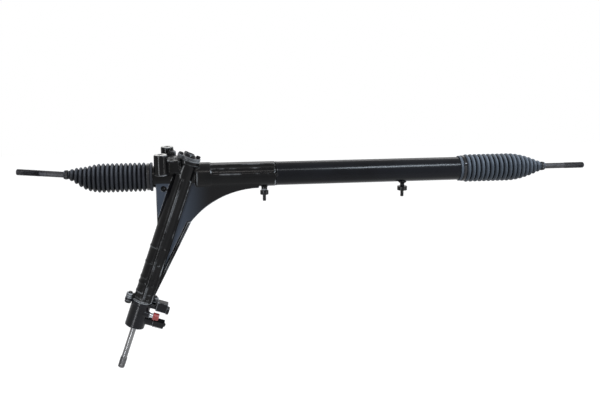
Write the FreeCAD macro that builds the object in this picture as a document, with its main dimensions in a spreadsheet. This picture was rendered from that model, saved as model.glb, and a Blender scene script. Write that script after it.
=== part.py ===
import FreeCAD, Part
import math
import os
import re
import Sketcher

# Power steering rack: a cast housing with a slanted pinion tower, a steel cylinder tube,
# a sliding toothed rack bar with a piston, and a ball-jointed tie rod in a bellows at each end.
# The frame is the bolt-up face: X runs along the rack, Z is up, the origin lies midway
# between the two mounting holes. Every length is in millimetres, every angle in degrees.

SIZES = [
    ("rack_drop", 59.0, "bolt-up face to rack axis"),
    ("cross_x", 39.5, "where the pinion axis passes the rack axis"),
    ("pinion_set", 17.0, "pinion axis in front of the rack axis"),
    ("tilt_deg", 19.4, "lean of the pinion tower and helix angle of its teeth"),
    ("fit_gap", 0.05, "radial gap of pieces that are seated in each other"),
    ("run_gap", 0.06, "radial gap of running and sliding fits"),
    ("ball_gap", 0.1, "gap of a ball in its seat"),
    ("free_gap", 0.3, "gap of moving pieces that do not bear on each other"),
    ("barrel_rad", 24.0, "outside radius of the left barrel"),
    ("barrel_end_x", -40.0, "left end of the barrel"),
    ("bar_bore_rad", 16.0, "clearance bore for the rack bar"),
    ("socket_bore_rad", 21.0, "counterbore that the left ball socket runs into"),
    ("collar_rad", 29.7, "radius of the collar right of the tower"),
    ("collar_x", 69.5, "left end of the collar"),
    ("collar_len", 31.5, "length of the collar"),
    ("main_rad", 28.2, "radius of the ribbed section"),
    ("seam_x", 248.2, "right end of the casting"),
    ("seal_seat_rad", 20.0, "radius of the inner seal seat"),
    ("seal_seat_len", 17.0, "length of the inner seal seat"),
    ("chamber_x", 212.0, "left end of the cylinder chamber"),
    ("spigot_len", 17.2, "how far the tube enters the casting"),
    ("spigot_rad", 25.3, "radius of the tube's turned-down end"),
    ("rib_high", 1.8, "height of the ribs on the casting"),
    ("rib_wide", 3.5, "width of the ribs on the casting"),
    ("upper_rib_deg", 61.0, "place of the upper rib above the front"),
    ("middle_rib_deg", 38.0, "place of the middle rib"),
    ("lower_rib_deg", 12.0, "place of the lower rib"),
    ("tower_rad", 21.5, "outside radius of the tower"),
    ("head_high", 12.0, "height of the tower's head"),
    ("ridge_wide", 5.0, "width of the ridges along the tower"),
    ("ridge_high", 2.0, "height of the ridge on the tower's front"),
    ("cross_rib_wide", 3.0, "width of the ribs round the tower"),
    ("cross_rib_high", 1.2, "height of the ribs round the tower"),
    ("first_rib_at", 170.0, "rack crossing to the first rib round the tower"),
    ("second_rib_at", 208.0, "rack crossing to the second rib"),
    ("third_rib_at", 245.0, "rack crossing to the third rib"),
    ("fourth_rib_at", 258.0, "rack crossing to the fourth rib"),
    ("fifth_rib_at", 280.0, "rack crossing to the fifth rib"),
    ("cup_recess", 14.0, "depth of the recess round the pinion's cup"),
    ("tower_top", 45.0, "rack crossing to the seat of the end cover"),
    ("tower_len", 299.0, "rack crossing to the valve housing"),
    ("tower_bore_rad", 13.0, "bore of the tower"),
    ("tail_seat_rad", 17.5, "seat radius of the tail bearing"),
    ("tail_bearing_at", 24.2, "rack crossing to the tail bearing"),
    ("tail_bearing_len", 11.0, "width of the tail bearing"),
    ("web_front", 20.0, "front face of the web before the rack axis"),
    ("web_thick", 9.0, "thickness of the web"),
    ("web_left_x", -20.0, "left edge of the web"),
    ("web_left_deep", 103.0, "how far the left edge runs below the rack axis"),
    ("web_reach_x", 210.0, "right end of the web"),
    ("web_curve_rad", 200.0, "radius of the web's lower edge"),
    ("web_corner_x", 56.0, "where the curved edge meets the straight one"),
    ("web_edge_deg", 27.1, "lean of the straight edge"),
    ("web_deep", 276.0, "how far the web runs down the tower"),
    ("web_rim_wide", 7.0, "width of the rim on the straight edge"),
    ("web_rim_high", 3.0, "height of that rim on each side"),
    ("web_hole_rad", 5.5, "radius of the blind hole in the web"),
    ("web_hole_deep", 6.0, "depth of that hole"),
    ("web_hole_x", -2.8, "place of that hole along the rack"),
    ("web_hole_drop", 24.7, "how far that hole lies below the rack axis"),
    ("lug_span", 55.6, "rack axis to each mounting hole, front and back"),
    ("lug_skew", 6.2, "how far the front hole is to the left of the middle"),
    ("lug_rad", 14.5, "radius of a mounting lug"),
    ("lug_high", 46.0, "height of a mounting lug"),
    ("lug_hole_rad", 6.25, "radius of a mounting hole"),
    ("arm_wide", 24.0, "width of the arm behind a lug"),
    ("arm_drop", 16.0, "bolt-up face to the top of the arms"),
    ("arm_step", 4.0, "how far the arms lie to the right of the lugs"),
    ("saddle_set", 20.0, "rack axis to the middle of each saddle"),
    ("saddle_wide", 36.0, "width of a saddle"),
    ("pad_long", 16.0, "length of the rear pad along the rack"),
    ("pad_wide", 18.0, "width of the rear pad"),
    ("pad_high", 34.0, "height of the rear pad"),
    ("yoke_bore_rad", 18.0, "bore for the rack yoke"),
    ("yoke_wall", 5.5, "wall around the yoke bore"),
    ("yoke_boss_len", 48.0, "rack axis to the end of the yoke boss"),
    ("yoke_len", 28.0, "rack axis to the back of the yoke"),
    ("yoke_front", 2.0, "rack axis to the front of the yoke"),
    ("coil_pocket", 10.0, "depth of the spring's pocket in the yoke"),
    ("plug_socket_rad", 8.0, "corner radius of the yoke plug's key socket"),
    ("plug_socket_deep", 5.0, "depth of that socket"),
    ("plug_thick", 9.0, "thickness of the yoke plug"),
    ("plug_reach", 4.0, "how far the yoke plug stands out"),
    ("nut_thick", 6.0, "thickness of the yoke locknut"),
    ("nut_rad", 25.0, "corner radius of the yoke locknut"),
    ("coil_rad", 8.5, "mean radius of the yoke spring"),
    ("wire_rad", 1.4, "wire radius of the yoke spring"),
    ("coil_turns", 3.0, "turns of the yoke spring"),
    ("tube_rad", 27.0, "outside radius of the cylinder tube"),
    ("tube_bore_rad", 23.5, "bore of the cylinder tube"),
    ("tube_end_x", 694.0, "right end of the cylinder tube"),
    ("bush_x", 655.0, "left end of the rack bush"),
    ("bush_len", 22.0, "length of the rack bush"),
    ("clip_wide", 1.6, "width of the retaining rings"),
    ("clip_deep", 1.2, "groove depth of the retaining rings"),
    ("outer_seal_x", 566.0, "left end of the outer seal"),
    ("seal_len", 9.0, "length of a rack seal"),
    ("carrier_len", 12.0, "length of the seal carriers"),
    ("bar_rad", 14.0, "radius of the rack bar"),
    ("gear_module", 2.0, "normal module of rack and pinion"),
    ("gear_teeth", 8.0, "teeth of the pinion"),
    ("gear_shift", 0.45, "profile shift in modules"),
    ("gear_press_deg", 20.0, "normal pressure angle"),
    ("pinion_tip_rad", 11.1, "tip radius of the pinion"),
    ("tip_gap", 0.5, "gap at the tips and roots of the teeth"),
    ("flank_gap", 0.12, "gap at each flank of the teeth"),
    ("rack_spaces", 25.0, "tooth spaces of the rack"),
    ("pinion_half", 18.0, "half of the toothed length of the pinion"),
    ("tail_rad", 7.5, "journal radius of the pinion's tail"),
    ("tail_thread_rad", 6.0, "radius of the pinion's threaded tail"),
    ("tail_nut_rad", 10.4, "corner radius of the tail nut"),
    ("tail_nut_thick", 5.5, "thickness of the tail nut"),
    ("needle_rad", 9.0, "journal radius in the needle bearing"),
    ("needle_at", 20.5, "rack crossing to the needle bearing"),
    ("needle_len", 14.0, "length of the needle bearing"),
    ("stem_rad", 8.5, "radius of the pinion's long stem"),
    ("valve_rad", 22.5, "outside radius of the valve housing"),
    ("valve_len", 65.0, "length of the valve housing"),
    ("valve_bore_rad", 17.5, "bore of the valve housing"),
    ("flange_thick", 9.0, "thickness of the joined flanges"),
    ("ear_set", 31.0, "pinion axis to each flange bolt"),
    ("ear_rad", 8.5, "radius of the flange ears"),
    ("bolt_rad", 4.0, "thread radius of the flange bolts"),
    ("bolt_head_rad", 7.5, "corner radius of the flange bolt heads"),
    ("bolt_head_high", 5.5, "height of the flange bolt heads"),
    ("gasket_thick", 0.8, "thickness of the flange gaskets"),
    ("cover_rad", 26.0, "radius of the tower's end cover"),
    ("cover_thick", 5.0, "thickness of the end cover"),
    ("cover_wall", 5.0, "wall of the end cover's spigot"),
    ("cover_roof", 2.0, "gasket to the underside of the end cover's dome"),
    ("cover_dome_rad", 13.0, "radius of the end cover's dome"),
    ("cover_dome_high", 6.0, "height of the end cover's dome"),
    ("cover_bolts", 4.0, "bolts of the end cover"),
    ("cover_bolt_set", 21.2, "pinion axis to each cover bolt"),
    ("cover_bolt_deg", 20.0, "place of the first cover bolt"),
    ("small_bolt_rad", 2.5, "thread radius of the cover bolts"),
    ("small_head_rad", 4.9, "corner radius of the cover bolt heads"),
    ("small_head_high", 4.5, "height of the cover bolt heads"),
    ("cup_rad", 13.0, "radius of the pinion's cup"),
    ("cup_len", 16.0, "length of the pinion's cup"),
    ("cup_bore_rad", 9.0, "bore of the pinion's cup"),
    ("cup_bore_deep", 10.0, "depth of the cup's bore"),
    ("stub_len", 9.0, "how far the input shaft enters the cup"),
    ("core_rad", 4.0, "radius inside the pinion's teeth"),
    ("sleeve_rad", 17.0, "outside radius of the valve sleeve"),
    ("sleeve_bore_rad", 11.0, "bore of the valve sleeve"),
    ("sleeve_len", 30.0, "length of the valve sleeve"),
    ("ring_wide", 2.0, "width of a sleeve ring"),
    ("ring_deep", 1.5, "groove depth of a sleeve ring"),
    ("sleeve_rings", 4.0, "rings on the valve sleeve"),
    ("valve_slots", 6.0, "slots in the valve part of the input shaft"),
    ("slot_wide", 3.0, "width of such a slot"),
    ("slot_deep", 1.2, "depth of such a slot"),
    ("nose_bore_rad", 13.0, "bore for the input shaft seal"),
    ("cup_rise", 3.0, "how far the pinion's cup reaches into the tower"),
    ("valve_step", 2.0, "valve sleeve to valve bearing"),
    ("valve_bearing_len", 9.0, "width of the valve bearing"),
    ("valve_journal_rad", 8.5, "journal radius in the valve bearing"),
    ("shaft_rad", 6.5, "radius of the input shaft"),
    ("shaft_tip", 470.0, "rack crossing to the tip of the input shaft"),
    ("spline_rad", 7.8, "outside radius of the input shaft's spline"),
    ("spline_len", 25.0, "length of the spline"),
    ("spline_ribs", 24.0, "ribs of the spline"),
    ("spline_deep", 0.8, "depth of the spline"),
    ("notch_wide", 2.4, "width of the notch in the spline's end"),
    ("torsion_rad", 2.6, "radius of the torsion bar"),
    ("torsion_head_rad", 3.6, "radius of the torsion bar's heads"),
    ("torsion_head_len", 12.0, "length of the torsion bar's lower head"),
    ("torsion_end", 16.0, "tip of the input shaft to the torsion bar"),
    ("pin_rad", 1.5, "radius of the torsion bar's pin"),
    ("pin_down", 3.0, "top of the pinion's cup to that pin"),
    ("seal_thick", 6.0, "thickness of the input shaft seal"),
    ("dust_thick", 3.0, "thickness of the dust cover"),
    ("piston_x", 374.0, "left face of the piston"),
    ("piston_len", 22.0, "length of the piston"),
    ("piston_ring_wide", 4.0, "width of the piston ring"),
    ("piston_ring_deep", 2.5, "groove depth of the piston ring"),
    ("rack_travel", 65.0, "travel of the rack to each side"),
    ("stop_gap", 1.5, "gap that is left at the end of the travel"),
    ("left_ball_x", -102.0, "centre of the left ball"),
    ("right_ball_x", 781.0, "centre of the right ball"),
    ("left_rise_deg", 5.0, "rise of the left tie rod"),
    ("ball_rad", 13.0, "radius of the tie rod's ball"),
    ("seat_wall", 2.2, "wall of the ball seat"),
    ("socket_rad", 19.0, "outside radius of the ball socket"),
    ("socket_back", 26.0, "ball centre to the back of the socket"),
    ("socket_front", 11.0, "ball centre to the mouth of the socket"),
    ("socket_lip", 3.0, "length of the socket's rolled lip"),
    ("socket_mouth_rad", 10.9, "radius of the socket's mouth"),
    ("socket_stud_rad", 8.0, "radius of the socket's threaded stud"),
    ("socket_stud_len", 20.0, "length of the socket's threaded stud"),
    ("washer_thick", 1.5, "thickness of the lock washer"),
    ("rod_rad", 6.5, "radius of a tie rod"),
    ("neck_rad", 6.0, "radius of the tie rod beside its ball"),
    ("rod_len", 216.0, "ball centre to the tip of the tie rod"),
    ("thread_rad", 7.0, "outside radius of the tie rod's thread"),
    ("thread_len", 48.0, "length of the tie rod's thread"),
    ("thread_lead", 2.0, "chamfer of the threaded tip"),
    ("flat_len", 15.0, "length of the wrench flats"),
    ("flat_across", 11.0, "width across the wrench flats"),
    ("boot_wall", 1.4, "wall of a boot"),
    ("boot_rad", 32.5, "crest radius of a boot"),
    ("boot_deep", 7.0, "depth of a boot's folds"),
    ("boot_crests", 17.0, "folds of a boot"),
    ("boot_nose", 7.0, "folds in the tapering nose"),
    ("boot_cuff", 13.0, "length of the large cuff"),
    ("boot_lead", 6.0, "large cuff to the first fold"),
    ("boot_last", 99.0, "ball centre to the last fold"),
    ("boot_end", 116.0, "ball centre to the small end"),
    ("boot_neck", 11.0, "length of the small cuff"),
    ("boot_bend", 60.0, "ball centre to where the boot starts to bend"),
    ("left_boot_x", -26.0, "large end of the left boot"),
    ("right_boot_x", 682.0, "large end of the right boot"),
    ("cuff_rad", 28.8, "outside radius of the large cuffs"),
    ("neck_wall", 2.0, "wall of the small cuffs"),
    ("left_lip_rad", 32.0, "radius of the lip on the left boot's cuff"),
    ("right_lip_rad", 29.4, "radius of the lip on the right boot's cuff"),
    ("lip_wide", 5.0, "width of that lip"),
    ("lip_slope", 1.0, "length of the step from lip to cuff"),
    ("clamp_thick", 1.2, "thickness of a boot clamp"),
    ("clamp_wide", 6.0, "width of the large clamp"),
    ("small_clamp_wide", 5.0, "width of the small clamp"),
    ("left_port_x", 223.4, "place of the left cylinder port"),
    ("right_port_x", 548.0, "place of the right cylinder port"),
    ("port_deep", 38.2, "rack axis to the face of the ports"),
    ("port_bore_rad", 3.5, "bore of the cylinder ports"),
    ("left_port_rad", 7.0, "radius of the left port boss"),
    ("right_port_rad", 5.0, "radius of the right port boss"),
    ("port_wall", 3.0, "height of the right port's weld ring"),
    ("left_collar_rad", 9.6, "collar radius of the left port plug"),
    ("right_collar_rad", 11.6, "collar radius of the right port plug"),
    ("collar_high", 9.6, "collar height of the port plugs"),
    ("plug_stem_rad", 3.8, "stem radius of the port plugs"),
    ("plug_stem_len", 15.0, "stem length of the port plugs"),
    ("plug_stub_len", 8.0, "how far the port plugs enter the bores"),
    ("line_bore_rad", 4.0, "bore of the ports on the valve housing"),
    ("arm_rad", 5.0, "radius of the upper port's arm"),
    ("arm_at", 306.0, "rack crossing to the upper port"),
    ("block_near", 33.0, "pinion axis to the near face of the upper port's block"),
    ("block_far", 58.0, "pinion axis to the far face of that block"),
    ("block_wide", 22.0, "width of that block"),
    ("lower_port_at", 343.0, "rack crossing to the lower port"),
    ("lower_port_rad", 10.0, "radius of the lower port"),
    ("lower_port_far", 38.0, "pinion axis to the face of the lower port"),
    ("cap_hex_rad", 12.0, "corner radius of the lower port's plug"),
    ("cap_hex_len", 25.0, "length of the lower port's plug"),
    ("pipe_at", 325.0, "rack crossing to the short pipe"),
    ("pipe_rad", 5.5, "radius of the short pipe"),
    ("pipe_far", 44.0, "pinion axis to the end of the short pipe"),
    ("pipe_seat", 25.0, "pinion axis to the face of the pipe's seat"),
    ("red_cap_rad", 8.5, "radius of the short pipe's cap"),
    ("red_cap_len", 14.0, "length of the short pipe's cap"),
    ("upper_step", 7.0, "how far the upper port lies in front of the pinion axis"),
    ("lower_step", 3.0, "how far the lower port lies in front of it"),
    ("pipe_step", 14.0, "how far the short pipe lies in front of it"),
    ("line_start", 6.0, "pinion axis to the inner end of the port bores"),
    ("line_stub", 10.0, "how far a plug or pipe enters its port"),
    ("cap_lip", 2.0, "how far the short pipe's cap stands out past the pipe"),
]

NAMES = [name for name, number, note in SIZES]
WORD = re.compile(r"[a-z]\w+")

doc = FreeCAD.newDocument("steering_rack")
sheet = doc.addObject("Spreadsheet::Sheet", "Sizes")
pieces = []


def fill_sheet():
    """Write each driving dimension, its name and what it means into one row of the sheet."""
    for row, (name, number, note) in enumerate(SIZES, start=1):
        sheet.set("A%d" % row, name)
        sheet.set("B%d" % row, str(number))
        sheet.set("C%d" % row, note)
        sheet.setAlias("B%d" % row, name)
    doc.recompute()


def size(name):
    """The plain number that the sheet holds under this name."""
    return float(sheet.get(name))


def bound(formula):
    """A formula in which every name of the sheet is written as a reference to its cell."""
    return WORD.sub(lambda found: "Sizes." + found.group() if found.group() in NAMES else found.group(),
                    formula)


def bind(thing, **formulas):
    """Tie properties of an object to formulas over the sheet."""
    for name, formula in formulas.items():
        thing.setExpression(name, bound(formula))
    return thing


def locate(thing, place, turn=None, about=(0, 1, 0), fixed=None):
    """Tie the place of an object, and its turn about one axis, to formulas over the sheet."""
    rotation = fixed if fixed else FreeCAD.Rotation(FreeCAD.Vector(*about), 1 if turn else 0)
    thing.Placement = FreeCAD.Placement(FreeCAD.Vector(0, 0, 0), rotation)
    for letter, formula in zip("xyz", place):
        thing.setExpression("Placement.Base." + letter, bound(formula))
    if turn:
        thing.setExpression("Placement.Rotation.Angle", bound(turn))
    return thing


def piece(label, thing, frame):
    """Name one sub-part, put it in its frame and keep it for checking and export."""
    thing.Label = label
    place, turn = FRAMES[frame]
    locate(thing, place, turn)
    pieces.append(thing)
    return thing


def on_tower(side, front, up):
    """The place, in the rack's frame, of a point given along the leaning tower."""
    return ("cross_x + (%s) * cos(tilt_deg) + (%s) * sin(tilt_deg)" % (side, up),
            "-pinion_set - (%s)" % front,
            "(%s) * cos(tilt_deg) - (%s) * sin(tilt_deg)" % (up, side))


def line_frame(front, down):
    """A frame that leans with the tower, some way down it and in front of its axis."""
    across, back, up = on_tower("0", front, "-(%s)" % down)
    return (across, back, up + " - rack_drop"), "tilt_deg"


FRAMES = {
    "rack": (("0", "0", "-rack_drop"), None),
    "tower": (("cross_x", "-pinion_set", "-rack_drop"), "tilt_deg"),
    "yoke": (("cross_x", "0", "-rack_drop"), None),
    "left_end": (("left_ball_x", "0", "-rack_drop"), "180"),
    "right_end": (("right_ball_x", "0", "-rack_drop"), None),
    "left_rod": (("left_ball_x", "0", "-rack_drop"), "180 + left_rise_deg"),
    "right_rod": (("right_ball_x", "0", "-rack_drop"), None),
    "left_port": (("left_port_x", "0", "-rack_drop"), None),
    "right_port": (("right_port_x", "0", "-rack_drop"), None),
    "upper_line": line_frame("upper_step", "arm_at"),
    "lower_line": line_frame("lower_step", "lower_port_at"),
    "pipe_line": line_frame("pipe_step", "pipe_at"),
    "torsion_pin": line_frame("0", "tower_len - cup_rise + pin_down"),
}


UPRIGHT = {
    "z": FreeCAD.Rotation(FreeCAD.Vector(0, 0, 1), 0),
    "x": FreeCAD.Rotation(FreeCAD.Vector(0, 1, 0), 90),
    "y": FreeCAD.Rotation(FreeCAD.Vector(1, 0, 0), -90),
    "-z": FreeCAD.Rotation(FreeCAD.Vector(1, 0, 0), 180),
}


def cylinder(name, radius, length, place=("0", "0", "0"), along="z", turn=None):
    """A round bar that starts at a place and runs along an axis, or leans about Y by a turn."""
    thing = doc.addObject("Part::Cylinder", name)
    bind(thing, Radius=radius, Height=length)
    return locate(thing, place, turn) if turn else locate(thing, place, fixed=UPRIGHT[along])


def cone(name, radius, far_radius, length, place=("0", "0", "0"), along="z"):
    """A cone that starts at a place and runs along an axis."""
    thing = doc.addObject("Part::Cone", name)
    bind(thing, Radius1=radius, Radius2=far_radius, Height=length)
    return locate(thing, place, fixed=UPRIGHT[along])


def block(name, length, width, height, place, turn=None):
    """A box whose corner with the lowest coordinates lies at a place."""
    thing = doc.addObject("Part::Box", name)
    bind(thing, Length=length, Width=width, Height=height)
    return locate(thing, place, turn)


def prism(name, radius, length, place, along="z"):
    """A six-sided bar, such as a bolt head."""
    thing = doc.addObject("Part::Prism", name)
    thing.Polygon = 6
    bind(thing, Circumradius=radius, Height=length)
    return locate(thing, place, fixed=UPRIGHT[along])


def joined(name, shapes):
    """One solid made of several that overlap."""
    whole = shapes[0]
    for number, shape in enumerate(shapes[1:], start=1):
        step = doc.addObject("Part::Fuse", "%s_%d" % (name, number))
        step.Base = whole
        step.Tool = shape
        whole = step
    return whole


def cut(name, base, tools):
    """A solid less one or more others."""
    thing = doc.addObject("Part::Cut", name)
    thing.Base = base
    thing.Tool = tools[0] if len(tools) == 1 else joined(name + "_tools", tools)
    thing.Refine = True
    return thing


def group(name, things):
    """Identical fasteners kept as separate solids of one sub-part."""
    thing = doc.addObject("Part::Compound", name)
    thing.Links = things
    return thing


def plane(body, role):
    """One of a body's own origin planes."""
    return [part for part in body.Origin.OriginFeatures if part.Role == role][0]


def outline(body, name, corners, role="XZ_Plane"):
    """A closed sketch whose corners are tied to formulas over the sheet."""
    sketch = body.newObject("Sketcher::SketchObject", name)
    sketch.AttachmentSupport = [(plane(body, role), "")]
    sketch.MapMode = "FlatFace"
    count = len(corners)
    ring = [FreeCAD.Vector(math.cos(2 * math.pi * i / count), math.sin(2 * math.pi * i / count), 0)
            for i in range(count)]
    for i in range(count):
        sketch.addGeometry(Part.LineSegment(ring[i], ring[(i + 1) % count]))
    for i in range(count):
        sketch.addConstraint(Sketcher.Constraint("Coincident", i, 2, (i + 1) % count, 1))
    for i, (across, up) in enumerate(corners):
        for kind, value, formula in (("DistanceX", ring[i].x, across), ("DistanceY", ring[i].y, up)):
            index = sketch.addConstraint(Sketcher.Constraint(kind, -1, 1, i, 1, value))
            sketch.setExpression("Constraints[%d]" % index, bound(formula))
    return sketch


def turned(name, corners, about="H_Axis"):
    """A body turned about its own X axis (H_Axis) or Z axis (V_Axis) from a closed outline."""
    body = doc.addObject("PartDesign::Body", name)
    sketch = outline(body, name + "_outline", corners)
    turning = body.newObject("PartDesign::Revolution", name + "_turning")
    turning.Profile = sketch
    turning.ReferenceAxis = (sketch, [about])
    turning.Angle = 360
    return body


def ring(name, start, end, inner, outer, about="H_Axis"):
    """A plain turned ring between two places along its axis and two radii."""
    corners = [(start, inner), (end, inner), (end, outer), (start, outer)]
    if about == "V_Axis":
        corners = [(radius, along) for along, radius in corners]
    return turned(name, corners, about)


def plate(name, corners, back, thick):
    """A flat plate in the XZ plane from its back face towards the front."""
    body = doc.addObject("PartDesign::Body", name)
    sketch = outline(body, name + "_outline", corners)
    pad = body.newObject("PartDesign::Pad", name + "_pad")
    pad.Profile = sketch
    bind(pad, Length=thick)
    return locate(body, ("0", back, "0"))


EAR_ANGLES = ("180", "30")


def make_casting():
    """The cast housing: barrel, tower, web, lugs and yoke boss, then its bores."""
    corner_z = "-(main_rad + 1 + web_curve_rad - sqrt(pow(web_curve_rad; 2)" \
               " - pow(web_reach_x - web_corner_x; 2)))"
    foot_x = "web_corner_x - (web_deep + (%s)) * tan(web_edge_deg)" % corner_z
    axis_x = "cross_x - web_deep * tan(tilt_deg)"
    web_plate = plate("web_plate", [
        ("web_left_x", "0"), ("web_left_x", "-web_left_deep"), (axis_x, "-web_deep"),
        (foot_x, "-web_deep"), ("web_corner_x", corner_z), ("web_reach_x", corner_z),
        ("web_reach_x", "0")], "-web_front + web_thick", "web_thick")
    web_scoop = cylinder("web_scoop", "web_curve_rad", "web_thick + 2",
                         ("web_reach_x", "-web_front - 1", "-main_rad - 1 - web_curve_rad"), "y")
    web = cut("web", web_plate, [web_scoop])
    web_rim = plate("web_rim", [
        (foot_x, "-web_deep"), ("web_corner_x", corner_z),
        ("web_corner_x - web_rim_wide / cos(web_edge_deg)", corner_z),
        (foot_x + " - web_rim_wide / cos(web_edge_deg)", "-web_deep")],
        "-web_front + web_thick + web_rim_high", "web_thick + 2 * web_rim_high")
    solids = [web, web_rim]
    solids.append(cylinder("barrel", "barrel_rad", "collar_x - barrel_end_x + 1",
                           ("barrel_end_x", "0", "0"), "x"))
    solids.append(cylinder("collar", "collar_rad", "collar_len", ("collar_x", "0", "0"), "x"))
    solids.append(cylinder("ribbed_section", "main_rad", "seam_x - collar_x", ("collar_x", "0", "0"), "x"))
    for name, angle in (("upper_rib", "upper_rib_deg"), ("middle_rib", "middle_rib_deg"),
                        ("lower_rib", "lower_rib_deg")):
        rib = doc.addObject("Part::Box", name)
        bind(rib, Length="seam_x - collar_x - collar_len - 4", Width="rib_wide", Height="main_rad + rib_high")
        locate(rib, ("collar_x + collar_len", "-rib_wide / 2 * sin(%s)" % angle,
                     "-rib_wide / 2 * cos(%s)" % angle), "90 - " + angle, about=(1, 0, 0))
        solids.append(rib)
    solids.append(cylinder("tower_tube", "tower_rad", "tower_len + tower_top",
                           on_tower("0", "0", "-tower_len"), turn="tilt_deg"))
    solids.append(cylinder("tower_head", "cover_rad", "head_high",
                           on_tower("0", "0", "tower_top - head_high"),
                           turn="tilt_deg"))
    solids.append(cylinder("tower_foot", "valve_rad + 0.5", "flange_thick",
                           on_tower("0", "0", "-tower_len"), turn="tilt_deg"))
    for name in ("first_rib", "second_rib", "third_rib", "fourth_rib", "fifth_rib"):
        solids.append(cylinder(name, "tower_rad + cross_rib_high", "cross_rib_wide",
                               on_tower("0", "0", "-%s_at" % name), turn="tilt_deg"))
    solids.append(block("front_ridge", "ridge_wide", "2 * ridge_high", "tower_len",
                        on_tower("-ridge_wide / 2", "tower_rad + ridge_high", "-tower_len"), "tilt_deg"))
    solids.append(block("side_ridge", "ridge_wide", "ridge_wide", "tower_len",
                        on_tower("tower_rad - ridge_wide - 1", "tower_rad - ridge_wide", "-tower_len"),
                        "tilt_deg"))
    for number, angle in enumerate(EAR_ANGLES):
        solids.append(cylinder("tower_ear_%d" % number, "ear_rad", "flange_thick",
                               on_tower("ear_set * cos(%s)" % angle, "-ear_set * sin(%s)" % angle,
                                        "-tower_len"),
                               turn="tilt_deg"))
    for name, sign, side in (("front", "-", "-lug_skew"), ("rear", "", "lug_skew")):
        solids.append(cylinder(name + "_lug", "lug_rad", "lug_high",
                               (side, sign + "lug_span", "rack_drop - lug_high")))
        start = "-lug_span" if sign else "0"
        solids.append(block(name + "_arm", "arm_wide", "lug_span", "lug_high - arm_drop",
                            (side + " - arm_wide / 2 + arm_step", start, "rack_drop - lug_high")))
        solids.append(block(name + "_saddle", "cross_x", "saddle_wide", "lug_high - arm_drop - 2",
                            (side, sign + "saddle_set - saddle_wide / 2", "rack_drop - lug_high")))
    solids.append(block("rear_pad", "pad_long", "pad_wide", "pad_high",
                        ("lug_skew + arm_step", "lug_span - pad_wide + 2", "rack_drop - lug_high + 2")))
    solids.append(cylinder("yoke_boss", "yoke_bore_rad + yoke_wall", "yoke_boss_len", ("cross_x", "0", "0"),
                           "y"))
    solids.append(cylinder("left_port_boss", "left_port_rad", "port_deep", ("left_port_x", "0", "0"), "-z"))
    body = joined("casting_body", solids)
    tools = [
        cylinder("bar_bore", "bar_bore_rad", "chamber_x - barrel_end_x + 2", ("barrel_end_x - 1", "0", "0"),
                 "x"),
        cylinder("socket_bore", "socket_bore_rad",
                 "left_ball_x + socket_back + washer_thick + rack_travel + stop_gap - barrel_end_x + 1",
                 ("barrel_end_x - 1", "0", "0"), "x"),
        cylinder("seal_seat", "seal_seat_rad", "seal_seat_len + 1", ("chamber_x - seal_seat_len", "0", "0"),
                 "x"),
        cylinder("chamber", "tube_bore_rad", "seam_x - chamber_x + 1", ("chamber_x", "0", "0"), "x"),
        cylinder("spigot_bore", "spigot_rad + fit_gap", "spigot_len + 1", ("seam_x - spigot_len", "0", "0"),
                 "x"),
        cylinder("tower_bore", "tower_bore_rad", "tower_len + tower_top + 2",
                 on_tower("0", "0", "-tower_len - 1"), turn="tilt_deg"),
        cylinder("tail_seat", "tail_seat_rad", "tower_top - tail_bearing_at + 1",
                 on_tower("0", "0", "tail_bearing_at"), turn="tilt_deg"),
        cylinder("valve_recess", "cup_rad + 2", "cup_recess + 1", on_tower("0", "0", "-tower_len - 1"),
                 turn="tilt_deg"),
        cylinder("yoke_bore", "yoke_bore_rad", "yoke_boss_len + 1", ("cross_x", "0", "0"), "y"),
        cylinder("nut_room", "nut_rad + 1", "lug_span", ("cross_x", "yoke_boss_len", "0"), "y"),
        cylinder("left_port_bore", "port_bore_rad", "port_deep + 1", ("left_port_x", "0", "0"), "-z"),
        cylinder("web_hole", "web_hole_rad", "web_hole_deep + 1",
                 ("web_hole_x", "-web_front - 1", "-web_hole_drop"), "y"),
    ]
    for name, sign, side in (("front", "-", "-lug_skew"), ("rear", "", "lug_skew")):
        tools.append(cylinder(name + "_lug_hole", "lug_hole_rad", "lug_high + 2",
                              (side, sign + "lug_span", "rack_drop - lug_high - 1")))
    for number, angle in enumerate(EAR_ANGLES):
        tools.append(cylinder("tower_ear_hole_%d" % number, "bolt_rad + fit_gap", "flange_thick + 2",
                              on_tower("ear_set * cos(%s)" % angle, "-ear_set * sin(%s)" % angle,
                                       "-tower_len - 1"), turn="tilt_deg"))
    for number in range(int(size("cover_bolts"))):
        angle = "cover_bolt_deg + %d * 360 / cover_bolts" % number
        tools.append(cylinder("cover_hole_%d" % number, "small_bolt_rad + fit_gap", "10",
                              on_tower("cover_bolt_set * cos(%s)" % angle,
                                       "-cover_bolt_set * sin(%s)" % angle,
                                       "tower_top - 9"), turn="tilt_deg"))
    piece("rack_housing", cut("casting", body, tools), "rack")


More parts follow.
